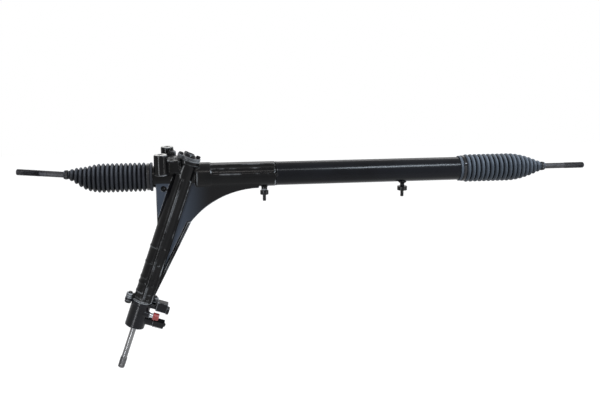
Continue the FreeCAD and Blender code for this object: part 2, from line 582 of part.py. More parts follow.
def make_tube():
    """The cylinder tube with the bush, seals and rings that it and the casting hold."""
    tube = turned("tube", [
        ("seam_x - spigot_len", "tube_bore_rad"), ("tube_end_x", "tube_bore_rad"), ("tube_end_x", "tube_rad"),
        ("seam_x", "tube_rad"), ("seam_x", "spigot_rad"), ("seam_x - spigot_len", "spigot_rad")])
    bush_end = "bush_x + bush_len + fit_gap"
    groove = ring("bush_groove", bush_end, bush_end + " + clip_wide + fit_gap", "bar_rad",
                  "tube_bore_rad + clip_deep")
    hole = cylinder("right_port_hole", "port_bore_rad", "tube_rad + 2", ("right_port_x", "0", "0"), "-z")
    piece("cylinder_tube", cut("tube_cut", tube, [groove, hole]), "rack")
    inner = "bar_rad + run_gap"
    piece("rack_bush", ring("bush", "bush_x", "bush_x + bush_len", inner, "tube_bore_rad - fit_gap"), "rack")
    piece("bush_retaining_ring",
          ring("bush_clip", bush_end, bush_end + " + clip_wide", "tube_bore_rad - 2 * clip_deep",
               "tube_bore_rad + clip_deep - fit_gap"), "rack")
    seal_end = "outer_seal_x + seal_len"
    piece("outer_rack_seal", ring("outer_seal", "outer_seal_x", seal_end, inner, "tube_bore_rad - fit_gap"),
          "rack")
    piece("outer_seal_carrier",
          ring("outer_carrier", seal_end, seal_end + " + carrier_len", "bar_rad + free_gap",
               "tube_bore_rad - fit_gap"),
          "rack")
    seat = "chamber_x - seal_seat_len"
    piece("inner_rack_seal", ring("inner_seal", seat, seat + " + seal_len", inner,
                                  "seal_seat_rad - fit_gap"), "rack")
    piece("inner_seal_retainer",
          ring("inner_retainer", seat + " + seal_len", "chamber_x", "bar_rad + free_gap",
               "seal_seat_rad - fit_gap"),
          "rack")


def make_ports():
    """The hanging cylinder ports: the right one's welded boss and both blanking plugs."""
    boss = joined("right_boss", [
        cylinder("right_boss_ring", "right_port_rad + 3", "port_wall + 3", ("0", "0", "-tube_rad + 3"), "-z"),
        cylinder("right_boss_neck", "right_port_rad", "port_deep - tube_rad + 3",
                 ("0", "0", "-tube_rad + 3"), "-z")])
    tools = [
        cylinder("right_boss_bed", "tube_rad + fit_gap", "40", ("-20", "0", "0"), "x"),
        cylinder("right_boss_bore", "port_bore_rad", "port_deep + 1", along="-z")]
    piece("right_port_boss", cut("right_boss_cut", boss, tools), "right_port")
    for side in ("left", "right"):
        collar = side + "_collar_rad"
        plug = turned(side + "_plug", [
            ("0", "-port_deep + plug_stub_len"), ("port_bore_rad - fit_gap", "-port_deep + plug_stub_len"),
            ("port_bore_rad - fit_gap", "-port_deep"), (collar, "-port_deep"),
            (collar, "-port_deep - collar_high"), ("plug_stem_rad", "-port_deep - collar_high"),
            ("plug_stem_rad", "-port_deep - collar_high - plug_stem_len"),
            ("0", "-port_deep - collar_high - plug_stem_len")], "V_Axis")
        piece(side + "_port_plug", plug, side + "_port")


def make_yoke():
    """The spring-loaded yoke behind the rack bar, its adjusting plug and locknut."""
    blank = cylinder("yoke_blank", "yoke_bore_rad - run_gap", "yoke_len - yoke_front",
                     ("0", "yoke_front", "0"), "y")
    tools = [
        cylinder("yoke_saddle", "bar_rad + run_gap", "4 * yoke_bore_rad", ("-2 * yoke_bore_rad", "0", "0"),
                 "x"),
        cylinder("yoke_pocket", "coil_rad + wire_rad + 2 * free_gap", "coil_pocket + 1",
                 ("0", "yoke_len - coil_pocket", "0"), "y")]
    piece("rack_yoke", cut("yoke_cut", blank, tools), "yoke")
    plug_face = "yoke_boss_len + plug_reach - plug_thick"
    plug = cut("plug_cut", cylinder("plug_blank", "yoke_bore_rad - fit_gap", "plug_thick",
                                    ("0", plug_face, "0"), "y"),
               [prism("plug_socket", "plug_socket_rad", "plug_socket_deep + 1",
                      ("0", plug_face + " + plug_thick - plug_socket_deep", "0"), "y")])
    piece("yoke_plug", plug, "yoke")
    nut = cut("nut_cut", prism("nut_blank", "nut_rad", "nut_thick", ("0", "yoke_boss_len", "0"), "y"),
              [cylinder("nut_bore", "yoke_bore_rad", "nut_thick + 2", ("0", "yoke_boss_len - 1", "0"), "y")])
    piece("yoke_locknut", nut, "yoke")
    start = size("yoke_len") - size("coil_pocket") + size("wire_rad")
    end = size("yoke_boss_len") + size("plug_reach") - size("plug_thick") - size("wire_rad")
    radius = size("coil_rad")
    helix = Part.makeHelix((end - start) / size("coil_turns"), end - start, radius)
    section = Part.Wire(Part.makeCircle(size("wire_rad"), FreeCAD.Vector(radius, 0, 0),
                                        FreeCAD.Vector(0, 1, 0)))
    for wire in (helix, section):
        wire.rotate(FreeCAD.Vector(0, 0, 0), FreeCAD.Vector(1, 0, 0), -90)
        wire.translate(FreeCAD.Vector(0, start, 0))
    spring = doc.addObject("Part::Feature", "yoke_coil")
    spring.Shape = Part.Wire(helix.Edges).makePipeShell([section], True, True)
    piece("yoke_spring", spring, "yoke")


def make_tower_end():
    """The bolted cover on top of the tower, with its gasket and bolts."""
    seat = "tower_top + gasket_thick"
    rim = seat + " + cover_thick"
    spigot = "tail_bearing_at + tail_bearing_len + fit_gap"
    cover = turned("cover_blank", [
        ("tail_seat_rad - cover_wall", spigot), ("tail_seat_rad - fit_gap", spigot),
        ("tail_seat_rad - fit_gap", seat),
        ("cover_rad", seat), ("cover_rad", rim), ("cover_dome_rad", rim),
        ("cover_dome_rad - 3", rim + " + cover_dome_high"), ("0", rim + " + cover_dome_high"),
        ("0", seat + " + cover_roof"), ("tail_seat_rad - cover_wall", seat + " + cover_roof")], "V_Axis")
    gasket = ring("gasket_blank", "tower_top", seat, "tail_seat_rad", "cover_rad - 0.5", "V_Axis")
    bolts = []
    holes = {"cover": [], "gasket": []}
    for number in range(int(size("cover_bolts"))):
        angle = "cover_bolt_deg + %d * 360 / cover_bolts" % number
        across = "cover_bolt_set * cos(%s)" % angle
        back = "cover_bolt_set * sin(%s)" % angle
        for part in holes:
            holes[part].append(cylinder("%s_hole_%d" % (part, number), "small_bolt_rad + fit_gap",
                                        "cover_thick + 4",
                                        (across, back, "tower_top - 1")))
        shank = cylinder("cover_shank_%d" % number, "small_bolt_rad", "cover_thick + 9",
                         (across, back, rim + " - cover_thick - 8"))
        head = prism("cover_head_%d" % number, "small_head_rad", "small_head_high", (across, back, rim))
        bolts.append(joined("cover_bolt_%d" % number, [shank, head]))
    piece("tower_end_cover", cut("cover_cut", cover, holes["cover"]), "tower")
    piece("tower_cover_gasket", cut("cover_gasket_cut", gasket, holes["gasket"]), "tower")
    piece("tower_cover_bolts", group("cover_bolt_group", bolts), "tower")


def make_valve_housing():
    """The rotary valve's housing under the tower, its ports, bolts, bearing and seals."""
    seat = "tower_len + gasket_thick"
    end = "tower_len + valve_len"
    solids = [
        cylinder("valve_barrel", "valve_rad", "valve_len - gasket_thick", ("0", "0", "-(%s)" % end)),
        cylinder("valve_flange", "valve_rad + 0.5", "flange_thick",
                 ("0", "0", "-(%s) - flange_thick" % seat)),
        cylinder("upper_arm", "arm_rad", "block_near - line_start",
                 ("line_start + 1", "-upper_step", "-arm_at"), "x"),
        block("upper_block", "block_far - block_near", "block_wide", "block_wide",
              ("block_near", "-upper_step - block_wide / 2", "-arm_at - arm_rad")),
        cylinder("lower_port", "lower_port_rad", "lower_port_far - line_start",
                 ("line_start", "-lower_step", "-lower_port_at"), "x"),
        cylinder("pipe_boss", "pipe_rad + 2", "pipe_seat - line_start",
                 ("line_start", "-pipe_step", "-pipe_at"), "x")]
    bearing_at = "tower_len - cup_rise + cup_len + sleeve_len + valve_step"
    bearing_end = bearing_at + " + valve_bearing_len"
    tools = [
        cylinder("valve_bore", "valve_bore_rad", "%s - tower_len + 1" % bearing_end,
                 ("0", "0", "-(%s)" % bearing_end)),
        cylinder("nose_bore", "nose_bore_rad", "valve_len / 2", ("0", "0", "-(%s) - 1" % end)),
        cylinder("upper_line", "line_bore_rad", "block_far", ("line_start", "-upper_step", "-arm_at"), "x"),
        cylinder("lower_line", "line_bore_rad", "lower_port_far",
                 ("line_start", "-lower_step", "-lower_port_at"), "x"),
        cylinder("pipe_line", "line_bore_rad", "pipe_seat", ("line_start", "-pipe_step", "-pipe_at"), "x")]
    bolts = []
    for number, angle in enumerate(EAR_ANGLES):
        across = "ear_set * cos(%s)" % angle
        back = "ear_set * sin(%s)" % angle
        under = "-(%s) - flange_thick" % seat
        solids.append(cylinder("valve_ear_%d" % number, "ear_rad", "flange_thick", (across, back, under)))
        tools.append(cylinder("valve_ear_hole_%d" % number, "bolt_rad + fit_gap", "flange_thick + 2",
                              (across, back, under + " - 1")))
        shank = cylinder("valve_shank_%d" % number, "bolt_rad", "2 * flange_thick + gasket_thick + 3",
                         (across, back, under))
        head = prism("valve_head_%d" % number, "bolt_head_rad", "bolt_head_high",
                     (across, back, under + " - bolt_head_high"))
        bolts.append(joined("valve_bolt_%d" % number, [shank, head]))
    piece("valve_housing", cut("valve_cut", joined("valve_body", solids), tools), "tower")
    piece("valve_housing_bolts", group("valve_bolt_group", bolts), "tower")
    piece("valve_housing_gasket",
          ring("valve_gasket", "-(%s)" % seat, "-tower_len", "valve_bore_rad", "valve_rad", "V_Axis"),
          "tower")
    piece("valve_bearing",
          ring("valve_bearing_ring", "-(%s)" % bearing_end, "-(%s)" % bearing_at,
               "valve_journal_rad + run_gap",
               "valve_bore_rad - fit_gap", "V_Axis"), "tower")
    seal_end = "-(%s) + dust_thick" % end
    piece("input_shaft_seal",
          ring("shaft_seal", seal_end, seal_end + " + seal_thick", "shaft_rad + run_gap",
               "nose_bore_rad - fit_gap",
               "V_Axis"), "tower")
    dust = turned("dust_blank", [
        ("shaft_rad + free_gap", "-(%s) - 1.5" % end), ("nose_bore_rad + 2", "-(%s) - 1.5" % end),
        ("nose_bore_rad + 2", "-(%s)" % end), ("nose_bore_rad - fit_gap", "-(%s)" % end),
        ("nose_bore_rad - fit_gap", seal_end), ("shaft_rad + free_gap", seal_end)], "V_Axis")
    piece("input_dust_cover", dust, "tower")


def make_line_plugs():
    """The blanking plugs in the valve housing's two line ports, and the short capped pipe."""
    upper = turned("upper_plug", [
        ("block_far - line_stub", "0"), ("block_far + line_start", "0"),
        ("block_far + line_start", "block_wide / 2 - 2"),
        ("block_far", "block_wide / 2 - 1"), ("block_far", "line_bore_rad - fit_gap"),
        ("block_far - line_stub", "line_bore_rad - fit_gap")])
    piece("upper_port_plug", upper, "upper_line")
    lower = joined("lower_plug", [
        cylinder("lower_plug_stub", "line_bore_rad - fit_gap", "line_stub + 1",
                 ("lower_port_far - line_stub", "0", "0"),
                 "x"),
        prism("lower_plug_hex", "cap_hex_rad", "cap_hex_len", ("lower_port_far", "0", "0"), "x"),
        cone("lower_plug_tip", "cap_hex_rad / 2", "cap_hex_rad / 4", "cap_hex_rad / 3",
             ("lower_port_far + cap_hex_len", "0", "0"), "x")])
    piece("lower_port_plug", lower, "lower_line")
    pipe = turned("pipe_blank", [
        ("pipe_seat - line_stub", "pipe_rad / 2"), ("pipe_far", "pipe_rad / 2"), ("pipe_far", "pipe_rad"),
        ("pipe_seat", "pipe_rad"), ("pipe_seat", "line_bore_rad - fit_gap"),
        ("pipe_seat - line_stub", "line_bore_rad - fit_gap")])
    piece("short_pipe", pipe, "pipe_line")
    cap_start = "pipe_far - red_cap_len + cap_lip"
    cap = turned("cap_blank", [
        (cap_start, "pipe_rad + fit_gap"), ("pipe_far + fit_gap", "pipe_rad + fit_gap"),
        ("pipe_far + fit_gap", "0"),
        ("pipe_far + cap_lip", "0"), ("pipe_far + cap_lip", "red_cap_rad - 1"),
        ("pipe_far + cap_lip - 1", "red_cap_rad"),
        (cap_start, "red_cap_rad")])
    piece("short_pipe_cap", cap, "pipe_line")


def tooth_profile():
    """The pinion's cross-section: involute flanks, with each tooth thinned by the flank gap."""
    lean = math.radians(size("tilt_deg"))
    teeth = int(size("gear_teeth"))
    module = size("gear_module")
    pitch_rad = teeth * module / (2 * math.cos(lean))
    press = math.atan(math.tan(math.radians(size("gear_press_deg"))) / math.cos(lean))
    base_rad = pitch_rad * math.cos(press)
    root_rad = pitch_rad + (size("gear_shift") - 1) * module - size("tip_gap")
    tip_rad = size("pinion_tip_rad")
    thick = (math.pi / 2 * module / math.cos(lean) + 2 * size("gear_shift") * module * math.tan(press)
             - 2 * size("flank_gap") / math.cos(lean))
    half = thick / (2 * pitch_rad) + math.tan(press) - press

    def flank(radius, side, tooth):
        """A point of one flank, at a radius, left or right of the tooth's middle."""
        slope = math.acos(min(1, base_rad / radius))
        angle = math.radians(90) + tooth * 2 * math.pi / teeth + side * (half - math.tan(slope) + slope)
        return FreeCAD.Vector(radius * math.cos(angle), radius * math.sin(angle), 0)

    radii = [base_rad + (tip_rad - base_rad) * step / 5 for step in range(6)]
    edges = []
    for tooth in range(teeth):
        rising = [flank(radius, -1, tooth) for radius in radii]
        falling = [flank(radius, 1, tooth) for radius in reversed(radii)]
        foot = rising[0] * (root_rad / base_rad)
        heel = falling[-1] * (root_rad / base_rad)
        next_foot = flank(base_rad, -1, tooth + 1) * (root_rad / base_rad)
        crown = rising[-1] + falling[0]
        crown = crown * (tip_rad / crown.Length)
        valley = heel + next_foot
        valley = valley * (root_rad / valley.Length)
        for points in (rising, falling):
            curve = Part.BSplineCurve()
            curve.interpolate(points)
            if points is rising:
                edges += [Part.LineSegment(foot, points[0]).toShape(), curve.toShape(),
                          Part.Arc(points[-1], crown, falling[0]).toShape()]
            else:
                edges += [curve.toShape(), Part.LineSegment(points[-1], heel).toShape(),
                          Part.Arc(heel, valley, next_foot).toShape()]
    return Part.Wire(Part.__sortEdges__(edges)), pitch_rad


def make_pinion():
    """The helical pinion on its long stem, with its tail, nut, bearings and cup."""
    half = size("pinion_half")
    wire, pitch_rad = tooth_profile()
    twist = math.tan(math.radians(size("tilt_deg"))) / pitch_rad
    lead = 2 * math.pi / twist
    wire.rotate(FreeCAD.Vector(0, 0, 0), FreeCAD.Vector(0, 0, 1), -math.degrees(half * twist))
    wire.translate(FreeCAD.Vector(0, 0, -half))
    spine = Part.Wire(Part.makeLine(FreeCAD.Vector(0, 0, -half), FreeCAD.Vector(0, 0, half)))
    guide = Part.makeHelix(lead, 2 * half, size("pinion_tip_rad"))
    guide.translate(FreeCAD.Vector(0, 0, -half))
    sweep = Part.BRepOffsetAPI.MakePipeShell(spine)
    sweep.setAuxiliarySpine(Part.Wire(guide.Edges), True, False)
    sweep.add(wire, False, False)
    sweep.build()
    sweep.makeSolid()
    toothed = doc.addObject("Part::Feature", "pinion_teeth")
    toothed.Shape = sweep.shape()
    shoulder = "tail_bearing_at"
    journal_end = shoulder + " + tail_bearing_len + fit_gap"
    tail_end = journal_end + " + tail_nut_thick + 1.5"
    cup_top = "-tower_len + cup_rise"
    cup_end = "%s - cup_len" % cup_top
    stem = turned("pinion_stem", [
        ("0", tail_end), ("tail_thread_rad - 1", tail_end), ("tail_thread_rad", tail_end + " - 1"),
        ("tail_thread_rad", journal_end), ("tail_rad", journal_end), ("tail_rad", shoulder),
        ("tail_rad + 2", shoulder), ("tail_rad + 2", "pinion_half - 0.5"), ("core_rad", "pinion_half - 0.5"),
        ("core_rad", "-pinion_half + 0.5"), ("needle_rad", "-pinion_half + 0.5"),
        ("needle_rad", "-needle_at - needle_len - 1"), ("stem_rad", "-needle_at - needle_len - 1"),
        ("stem_rad", cup_top), ("cup_rad", cup_top), ("cup_rad", cup_end), ("cup_bore_rad", cup_end),
        ("cup_bore_rad", cup_end + " + cup_bore_deep"),
        ("torsion_head_rad + fit_gap", cup_end + " + cup_bore_deep"),
        ("torsion_head_rad + fit_gap", cup_top + " + stub_len + 1"), ("0", cup_top + " + stub_len + 1")],
        "V_Axis")
    pin_hole = cylinder("pin_hole", "pin_rad + fit_gap", "2 * cup_rad + 2",
                        ("-cup_rad - 1", "0", cup_top + " - pin_down"), "x")
    piece("pinion", cut("pinion_cut", joined("pinion_blank", [toothed, stem]), [pin_hole]), "tower")
    nut = cut("tail_nut_cut", prism("tail_nut_blank", "tail_nut_rad", "tail_nut_thick",
                                    ("0", "0", journal_end)),
              [cylinder("tail_nut_bore", "tail_thread_rad + fit_gap", "tail_nut_thick + 2",
                        ("0", "0", journal_end + " - 1"))])
    piece("pinion_nut", nut, "tower")
    piece("pinion_tail_bearing",
          ring("tail_bearing", shoulder + " + fit_gap", shoulder + " + tail_bearing_len",
               "tail_rad + run_gap",
               "tail_seat_rad - fit_gap", "V_Axis"), "tower")
    piece("pinion_needle_bearing",
          ring("needle_bearing", "-needle_at - needle_len", "-needle_at", "needle_rad + run_gap",
               "tower_bore_rad - fit_gap", "V_Axis"), "tower")
    bar_top = cup_top + " + stub_len"
    bar_end = "-shaft_tip + torsion_end"
    bar = turned("torsion_blank", [
        ("0", bar_top), ("torsion_head_rad", bar_top), ("torsion_head_rad", cup_end + " + stub_len"),
        ("torsion_rad", cup_end + " + stub_len - 2"), ("torsion_rad", bar_end + " + torsion_head_len + 2"),
        ("torsion_head_rad", bar_end + " + torsion_head_len"), ("torsion_head_rad", bar_end),
        ("0", bar_end)], "V_Axis")
    bar_hole = cylinder("bar_hole", "pin_rad + fit_gap", "4 * torsion_head_rad",
                        ("-2 * torsion_head_rad", "0", cup_top + " - pin_down"), "x")
    piece("torsion_bar", cut("torsion_cut", bar, [bar_hole]), "tower")
    pin = turned("torsion_pin", [
        ("-cup_rad + 0.5", "0"), ("cup_rad - 0.5", "0"), ("cup_rad - 0.5", "pin_rad"),
        ("-cup_rad + 0.5", "pin_rad")])
    piece("torsion_bar_pin", pin, "torsion_pin")


def make_valve():
    """The valve sleeve that turns with the pinion, and the input shaft that turns inside it."""
    top = "-tower_len + cup_rise - cup_len"
    end = top + " - sleeve_len"
    tools = []
    rings = []
    count = int(size("sleeve_rings"))
    for number in range(count):
        low = "%s - (%d + 0.5) * sleeve_len / sleeve_rings - ring_wide / 2" % (top, number)
        high = low + " + ring_wide"
        tools.append(ring("ring_groove_%d" % number, low + " - fit_gap", high + " + fit_gap",
                          "sleeve_rad - ring_deep", "sleeve_rad + 1", "V_Axis"))
        rings.append(ring("sleeve_ring_%d" % number, low, high, "sleeve_rad - ring_deep + fit_gap",
                          "valve_bore_rad - run_gap", "V_Axis"))
        if number:
            middle = "%s - %d * sleeve_len / sleeve_rings" % (top, number)
            tools.append(cylinder("sleeve_port_%d" % number, "1.4", "2 * sleeve_rad + 2",
                                  ("-sleeve_rad - 1", "0", middle), "x"))
    sleeve = ring("sleeve_blank", end, top, "sleeve_bore_rad", "sleeve_rad", "V_Axis")
    piece("valve_sleeve", cut("sleeve_cut", sleeve, tools), "tower")
    piece("sleeve_rings", group("sleeve_ring_group", rings), "tower")
    journal = end + " - valve_step - valve_bearing_len"
    spline = "-shaft_tip + spline_len"
    bore = "torsion_head_rad + run_gap"
    shaft = turned("shaft_blank", [
        (bore, top + " + stub_len"), ("cup_bore_rad - run_gap", top + " + stub_len"),
        ("cup_bore_rad - run_gap", top + " - free_gap"),
        ("sleeve_bore_rad - run_gap", top + " - free_gap"), ("sleeve_bore_rad - run_gap", end),
        ("valve_journal_rad", end), ("valve_journal_rad", journal), ("shaft_rad", journal + " - 1"),
        ("shaft_rad", spline + " + 2"), ("spline_rad", spline), ("spline_rad", "-shaft_tip + 1.5"),
        ("spline_rad - 1.5", "-shaft_tip"), ("0", "-shaft_tip"), ("0", "-shaft_tip + torsion_end - 1"),
        (bore, "-shaft_tip + torsion_end - 1")], "V_Axis")
    tools = spokes("valve_slot", "valve_slots", "sleeve_bore_rad - run_gap - slot_deep",
                   "sleeve_bore_rad + 1",
                   "slot_wide", end + " + 4", top + " - 6")
    tools += spokes("spline_gap", "spline_ribs", "spline_rad - spline_deep", "spline_rad + 2",
                    "pi * spline_rad / spline_ribs", "-shaft_tip - 1", spline)
    tools.append(block("tip_notch", "4 * spline_rad", "notch_wide", "9",
                       ("-2 * spline_rad", "-notch_wide / 2", "-shaft_tip - 1")))
    piece("input_shaft", cut("shaft_cut", shaft, tools), "tower")


def spokes(name, count, near, far, wide, low, high):
    """Boxes that stand round an axis like spokes, for cutting slots."""
    boxes = []
    for number in range(int(size(count))):
        angle = "%d * 360 / %s" % (number, count)
        box = doc.addObject("Part::Box", "%s_%d" % (name, number))
        bind(box, Length="(%s) - (%s)" % (far, near), Width=wide, Height="(%s) - (%s)" % (high, low))
        place = ("(%s) * cos(%s) + (%s) / 2 * sin(%s)" % (near, angle, wide, angle),
                 "(%s) * sin(%s) - (%s) / 2 * cos(%s)" % (near, angle, wide, angle), low)
        boxes.append(locate(box, place, angle + " + 360", about=(0, 0, 1)))
    return boxes


def make_rack_bar():
    """The rack bar: a round bar with a flat of straight teeth and tapped ends."""
    left = "left_ball_x + socket_back + washer_thick"
    right = "right_ball_x - socket_back - washer_thick"
    tap = "socket_stud_rad + fit_gap"
    deep = "socket_stud_len"
    body = turned("bar", [
        (left, tap), (left, "bar_rad"), (right, "bar_rad"), (right, tap), (right + " - " + deep, tap),
        (right + " - " + deep, "0"), (left + " + " + deep, "0"), (left + " + " + deep, tap)])
    reach = "rack_spaces * pi * gear_module / 2"
    datum = "pinion_set - gear_teeth * gear_module / (2 * cos(tilt_deg)) - gear_shift * gear_module"
    tip = "-(%s) - gear_module" % datum
    root = "-pinion_set + pinion_tip_rad + tip_gap"
    flat = outline(body, "flat_outline", [
        ("cross_x - " + reach, tip), ("cross_x + " + reach, tip), ("cross_x + " + reach, "-bar_rad - 1"),
        ("cross_x - " + reach, "-bar_rad - 1")], "XY_Plane")
    pocket(body, "flat", flat)
    first = "cross_x - (rack_spaces - 1) / 2 * pi * gear_module"
    slope = "tan(gear_press_deg)"
    root_half = "pi * gear_module / 4 - (%s + %s) * %s" % (root, datum, slope)
    mouth_half = "pi * gear_module / 4 + (gear_module + 1) * " + slope
    space = outline(body, "space_outline", [
        ("%s - (%s)" % (first, root_half), root), ("%s + %s" % (first, root_half), root),
        ("%s + %s" % (first, mouth_half), tip + " - 1"),
        ("%s - (%s)" % (first, mouth_half), tip + " - 1")], "XY_Plane")
    space_cut = pocket(body, "space", space)
    pattern = body.newObject("PartDesign::LinearPattern", "spaces")
    pattern.Originals = [space_cut]
    pattern.Direction = (space, ["H_Axis"])
    bind(pattern, Length="(rack_spaces - 1) * pi * gear_module", Occurrences="rack_spaces")
    body.Tip = pattern
    grooves = [
        ring("clip_groove_left", "piston_x - clip_wide - fit_gap", "piston_x", "bar_rad - clip_deep",
             "bar_rad + 1"),
        ring("clip_groove_right", "piston_x + piston_len", "piston_x + piston_len + clip_wide + fit_gap",
             "bar_rad - clip_deep", "bar_rad + 1")]
    piece("rack_bar", cut("bar_cut", body, grooves), "rack")


def pocket(body, name, sketch):
    """A pocket cut right through a body, half to each side of its sketch."""
    thing = body.newObject("PartDesign::Pocket", name)
    thing.Profile = sketch
    thing.Midplane = True
    bind(thing, Length="4 * bar_rad")
    return thing


def make_piston():
    """The piston on the rack bar, with its ring and the clips that hold it."""
    middle = "piston_x + piston_len / 2"
    blank = ring("piston_blank", "piston_x", "piston_x + piston_len", "bar_rad + fit_gap",
                 "tube_bore_rad - free_gap")
    groove = ring("piston_groove", middle + " - piston_ring_wide / 2 - fit_gap",
                  middle + " + piston_ring_wide / 2 + fit_gap", "tube_bore_rad - piston_ring_deep",
                  "tube_bore_rad + 1")
    piece("piston", cut("piston_cut", blank, [groove]), "rack")
    piece("piston_ring",
          ring("piston_ring_blank", middle + " - piston_ring_wide / 2", middle + " + piston_ring_wide / 2",
               "tube_bore_rad - piston_ring_deep + fit_gap", "tube_bore_rad - run_gap"), "rack")
    clips = [
        ring("clip_left", "piston_x - clip_wide", "piston_x", "bar_rad - clip_deep + fit_gap", "bar_rad + 3"),
        ring("clip_right", "piston_x + piston_len", "piston_x + piston_len + clip_wide",
             "bar_rad - clip_deep + fit_gap", "bar_rad + 3")]
    piece("piston_clips", group("clip_group", clips), "rack")


def make_tie_rod(side):
    """One ball joint and tie rod: socket and seat on the rack bar, rod with its ball, clamp."""
    cavity = "ball_rad + seat_wall + fit_gap"
    lip = "socket_front - socket_lip"
    back = "-socket_back"
    socket = turned(side + "_socket", [
        (back + " - socket_stud_len + 1", "0"), (back + " - socket_stud_len + 1", "socket_stud_rad"),
        (back, "socket_stud_rad"), (back, "socket_rad"), (lip, "socket_rad"),
        ("socket_front", "socket_rad - 4"),
        ("socket_front", "socket_mouth_rad + 1.4"), (lip, "socket_mouth_rad"), (lip, cavity),
        ("-(%s)" % cavity, cavity), ("-(%s)" % cavity, "0")])
    piece(side + "_ball_socket", socket, side + "_end")
    piece(side + "_lock_washer",
          ring(side + "_washer", back + " - washer_thick", back, "socket_stud_rad + fit_gap",
               "bar_rad + 1.5"),
          side + "_end")
    shell = cylinder(side + "_seat_blank", "ball_rad + seat_wall",
                     "ball_rad + seat_wall + socket_front - socket_lip - fit_gap",
                     ("-ball_rad - seat_wall", "0", "0"), "x")
    hollow = doc.addObject("Part::Sphere", side + "_seat_hollow")
    bind(hollow, Radius="ball_rad + ball_gap")
    piece(side + "_ball_seat", cut(side + "_seat_cut", shell, [hollow]), side + "_end")
    ball = doc.addObject("Part::Sphere", side + "_ball")
    bind(ball, Radius="ball_rad")
    thread = "rod_len - thread_len"
    bar = turned(side + "_rod_bar", [
        ("0", "0"), ("0", "neck_rad"), ("ball_rad + 8", "neck_rad"), ("ball_rad + 12", "rod_rad"),
        (thread, "rod_rad"),
        (thread, "thread_rad"), ("rod_len - thread_lead", "thread_rad"),
        ("rod_len", "thread_rad - thread_lead"),
        ("rod_len", "0")])
    flats = [
        block(side + "_upper_flat", "flat_len", "4 * rod_rad", "rod_rad",
              (thread + " - flat_len - 1", "-2 * rod_rad", "flat_across / 2")),
        block(side + "_lower_flat", "flat_len", "4 * rod_rad", "rod_rad",
              (thread + " - flat_len - 1", "-2 * rod_rad", "-flat_across / 2 - rod_rad"))]
    piece(side + "_tie_rod", cut(side + "_rod_cut", joined(side + "_rod_blank", [ball, bar]), flats),
          side + "_rod")
    middle = "boot_end - boot_neck / 2"
    band = "rod_rad + 2 * free_gap + neck_wall"
    piece(side + "_boot_small_clamp",
          ring(side + "_small_band", middle + " - small_clamp_wide / 2", middle + " + small_clamp_wide / 2",
               band, band + " + clamp_thick"), side + "_rod")


def boot_rings(start, lip_rad):
    """Places and radii along one boot, from its large cuff to its small one."""
    cuff = size("cuff_rad")
    neck = size("rod_rad") + size("free_gap") + size("neck_wall")
    count = int(size("boot_crests"))
    first = start + size("boot_cuff") + size("boot_lead")
    pitch = (size("boot_last") - first) / (count - 1)
    steps = size("boot_nose") + 1
    crests = []
    for number in range(count):
        share = min(1, (count - number) / steps)
        crests.append(neck + (size("boot_rad") - neck) * math.sin(math.pi / 2 * share))
    lip_end = start + size("lip_wide")
    rings = [(start, lip_rad), (lip_end, lip_rad), (lip_end + size("lip_slope"), cuff),
             (start + size("boot_cuff"), cuff)]
    for number, crest in enumerate(crests):
        beside = crests[max(0, number - 1)]
        share = min(1, (count - number) / steps)
        valley = min(crest, beside) - size("boot_deep") * (0.4 + 0.6 * share)
        middle = first + number * pitch
        rings.append((middle - pitch / 2, max(valley, neck)))
        rings.append((middle, crest))
    rings += [(size("boot_last") + pitch / 2, neck), (size("boot_end"), neck)]
    return rings


def bellows(rings, rise):
    """A solid through round rings whose centre line bends by a rise between two places."""
    low = size("boot_bend")
    high = size("boot_last")
    wires = []
    for along, radius in rings:
        share = min(1, max(0, (along - low) / (high - low)))
        turn = math.radians(rise) * share * share * (3 - 2 * share)
        away = FreeCAD.Vector(math.cos(turn), 0, -math.sin(turn))
        wires.append(Part.Wire(Part.makeCircle(radius, away * along, away)))
    return Part.makeLoft(wires, True, True)


def make_boot(side, start_x, seat_rad, lip_rad):
    """One bellows boot and the band clamp on its large cuff."""
    outward = -1 if side == "left" else 1
    rise = size("left_rise_deg") if side == "left" else 0
    start = outward * (size(start_x) - size(side + "_ball_x"))
    outer = boot_rings(start, size(lip_rad))
    wall = size("boot_wall")
    neck_bore = size("rod_rad") + size("free_gap")
    inner = [(start - 1, size(seat_rad) + size("fit_gap")),
             (start + size("boot_cuff") - 1, size(seat_rad) + size("fit_gap"))]
    inner += [(along, max(radius - wall, neck_bore)) for along, radius in outer[4:-2]]
    inner += [(along, neck_bore) for along in (outer[-2][0], size("boot_end") + 1)]
    boot = doc.addObject("Part::Feature", side + "_bellows")
    boot.Shape = bellows(outer, rise).cut(bellows(inner, rise))
    piece(side + "_boot", boot, side + "_end")
    middle = "%s %s (boot_cuff + lip_wide + lip_slope) / 2" % (start_x, "+" if outward > 0 else "-")
    band = "cuff_rad + fit_gap"
    piece(side + "_boot_clamp",
          ring(side + "_band", middle + " - clamp_wide / 2", middle + " + clamp_wide / 2", band,
               band + " + clamp_thick"), "rack")


def check_and_write():
    """Stop on any failed object or unsound solid, then write one file for each sub-part."""
    doc.recompute()
    failed = [thing.Name for thing in doc.Objects if "Invalid" in thing.State or "Error" in thing.State]
    if failed:
        raise SystemExit("failed objects: " + ", ".join(failed))
    for thing in pieces:
        shape = thing.Shape
        if shape.isNull() or not shape.isValid() or not shape.Solids:
            raise SystemExit("unsound shape: " + thing.Label)
    os.makedirs("parts", exist_ok=True)
    for thing in pieces:
        thing.Shape.exportStep("parts/%s.step" % thing.Label)
        print("%-24s %3d solid  %10.0f mm3" % (thing.Label, len(thing.Shape.Solids), thing.Shape.Volume))


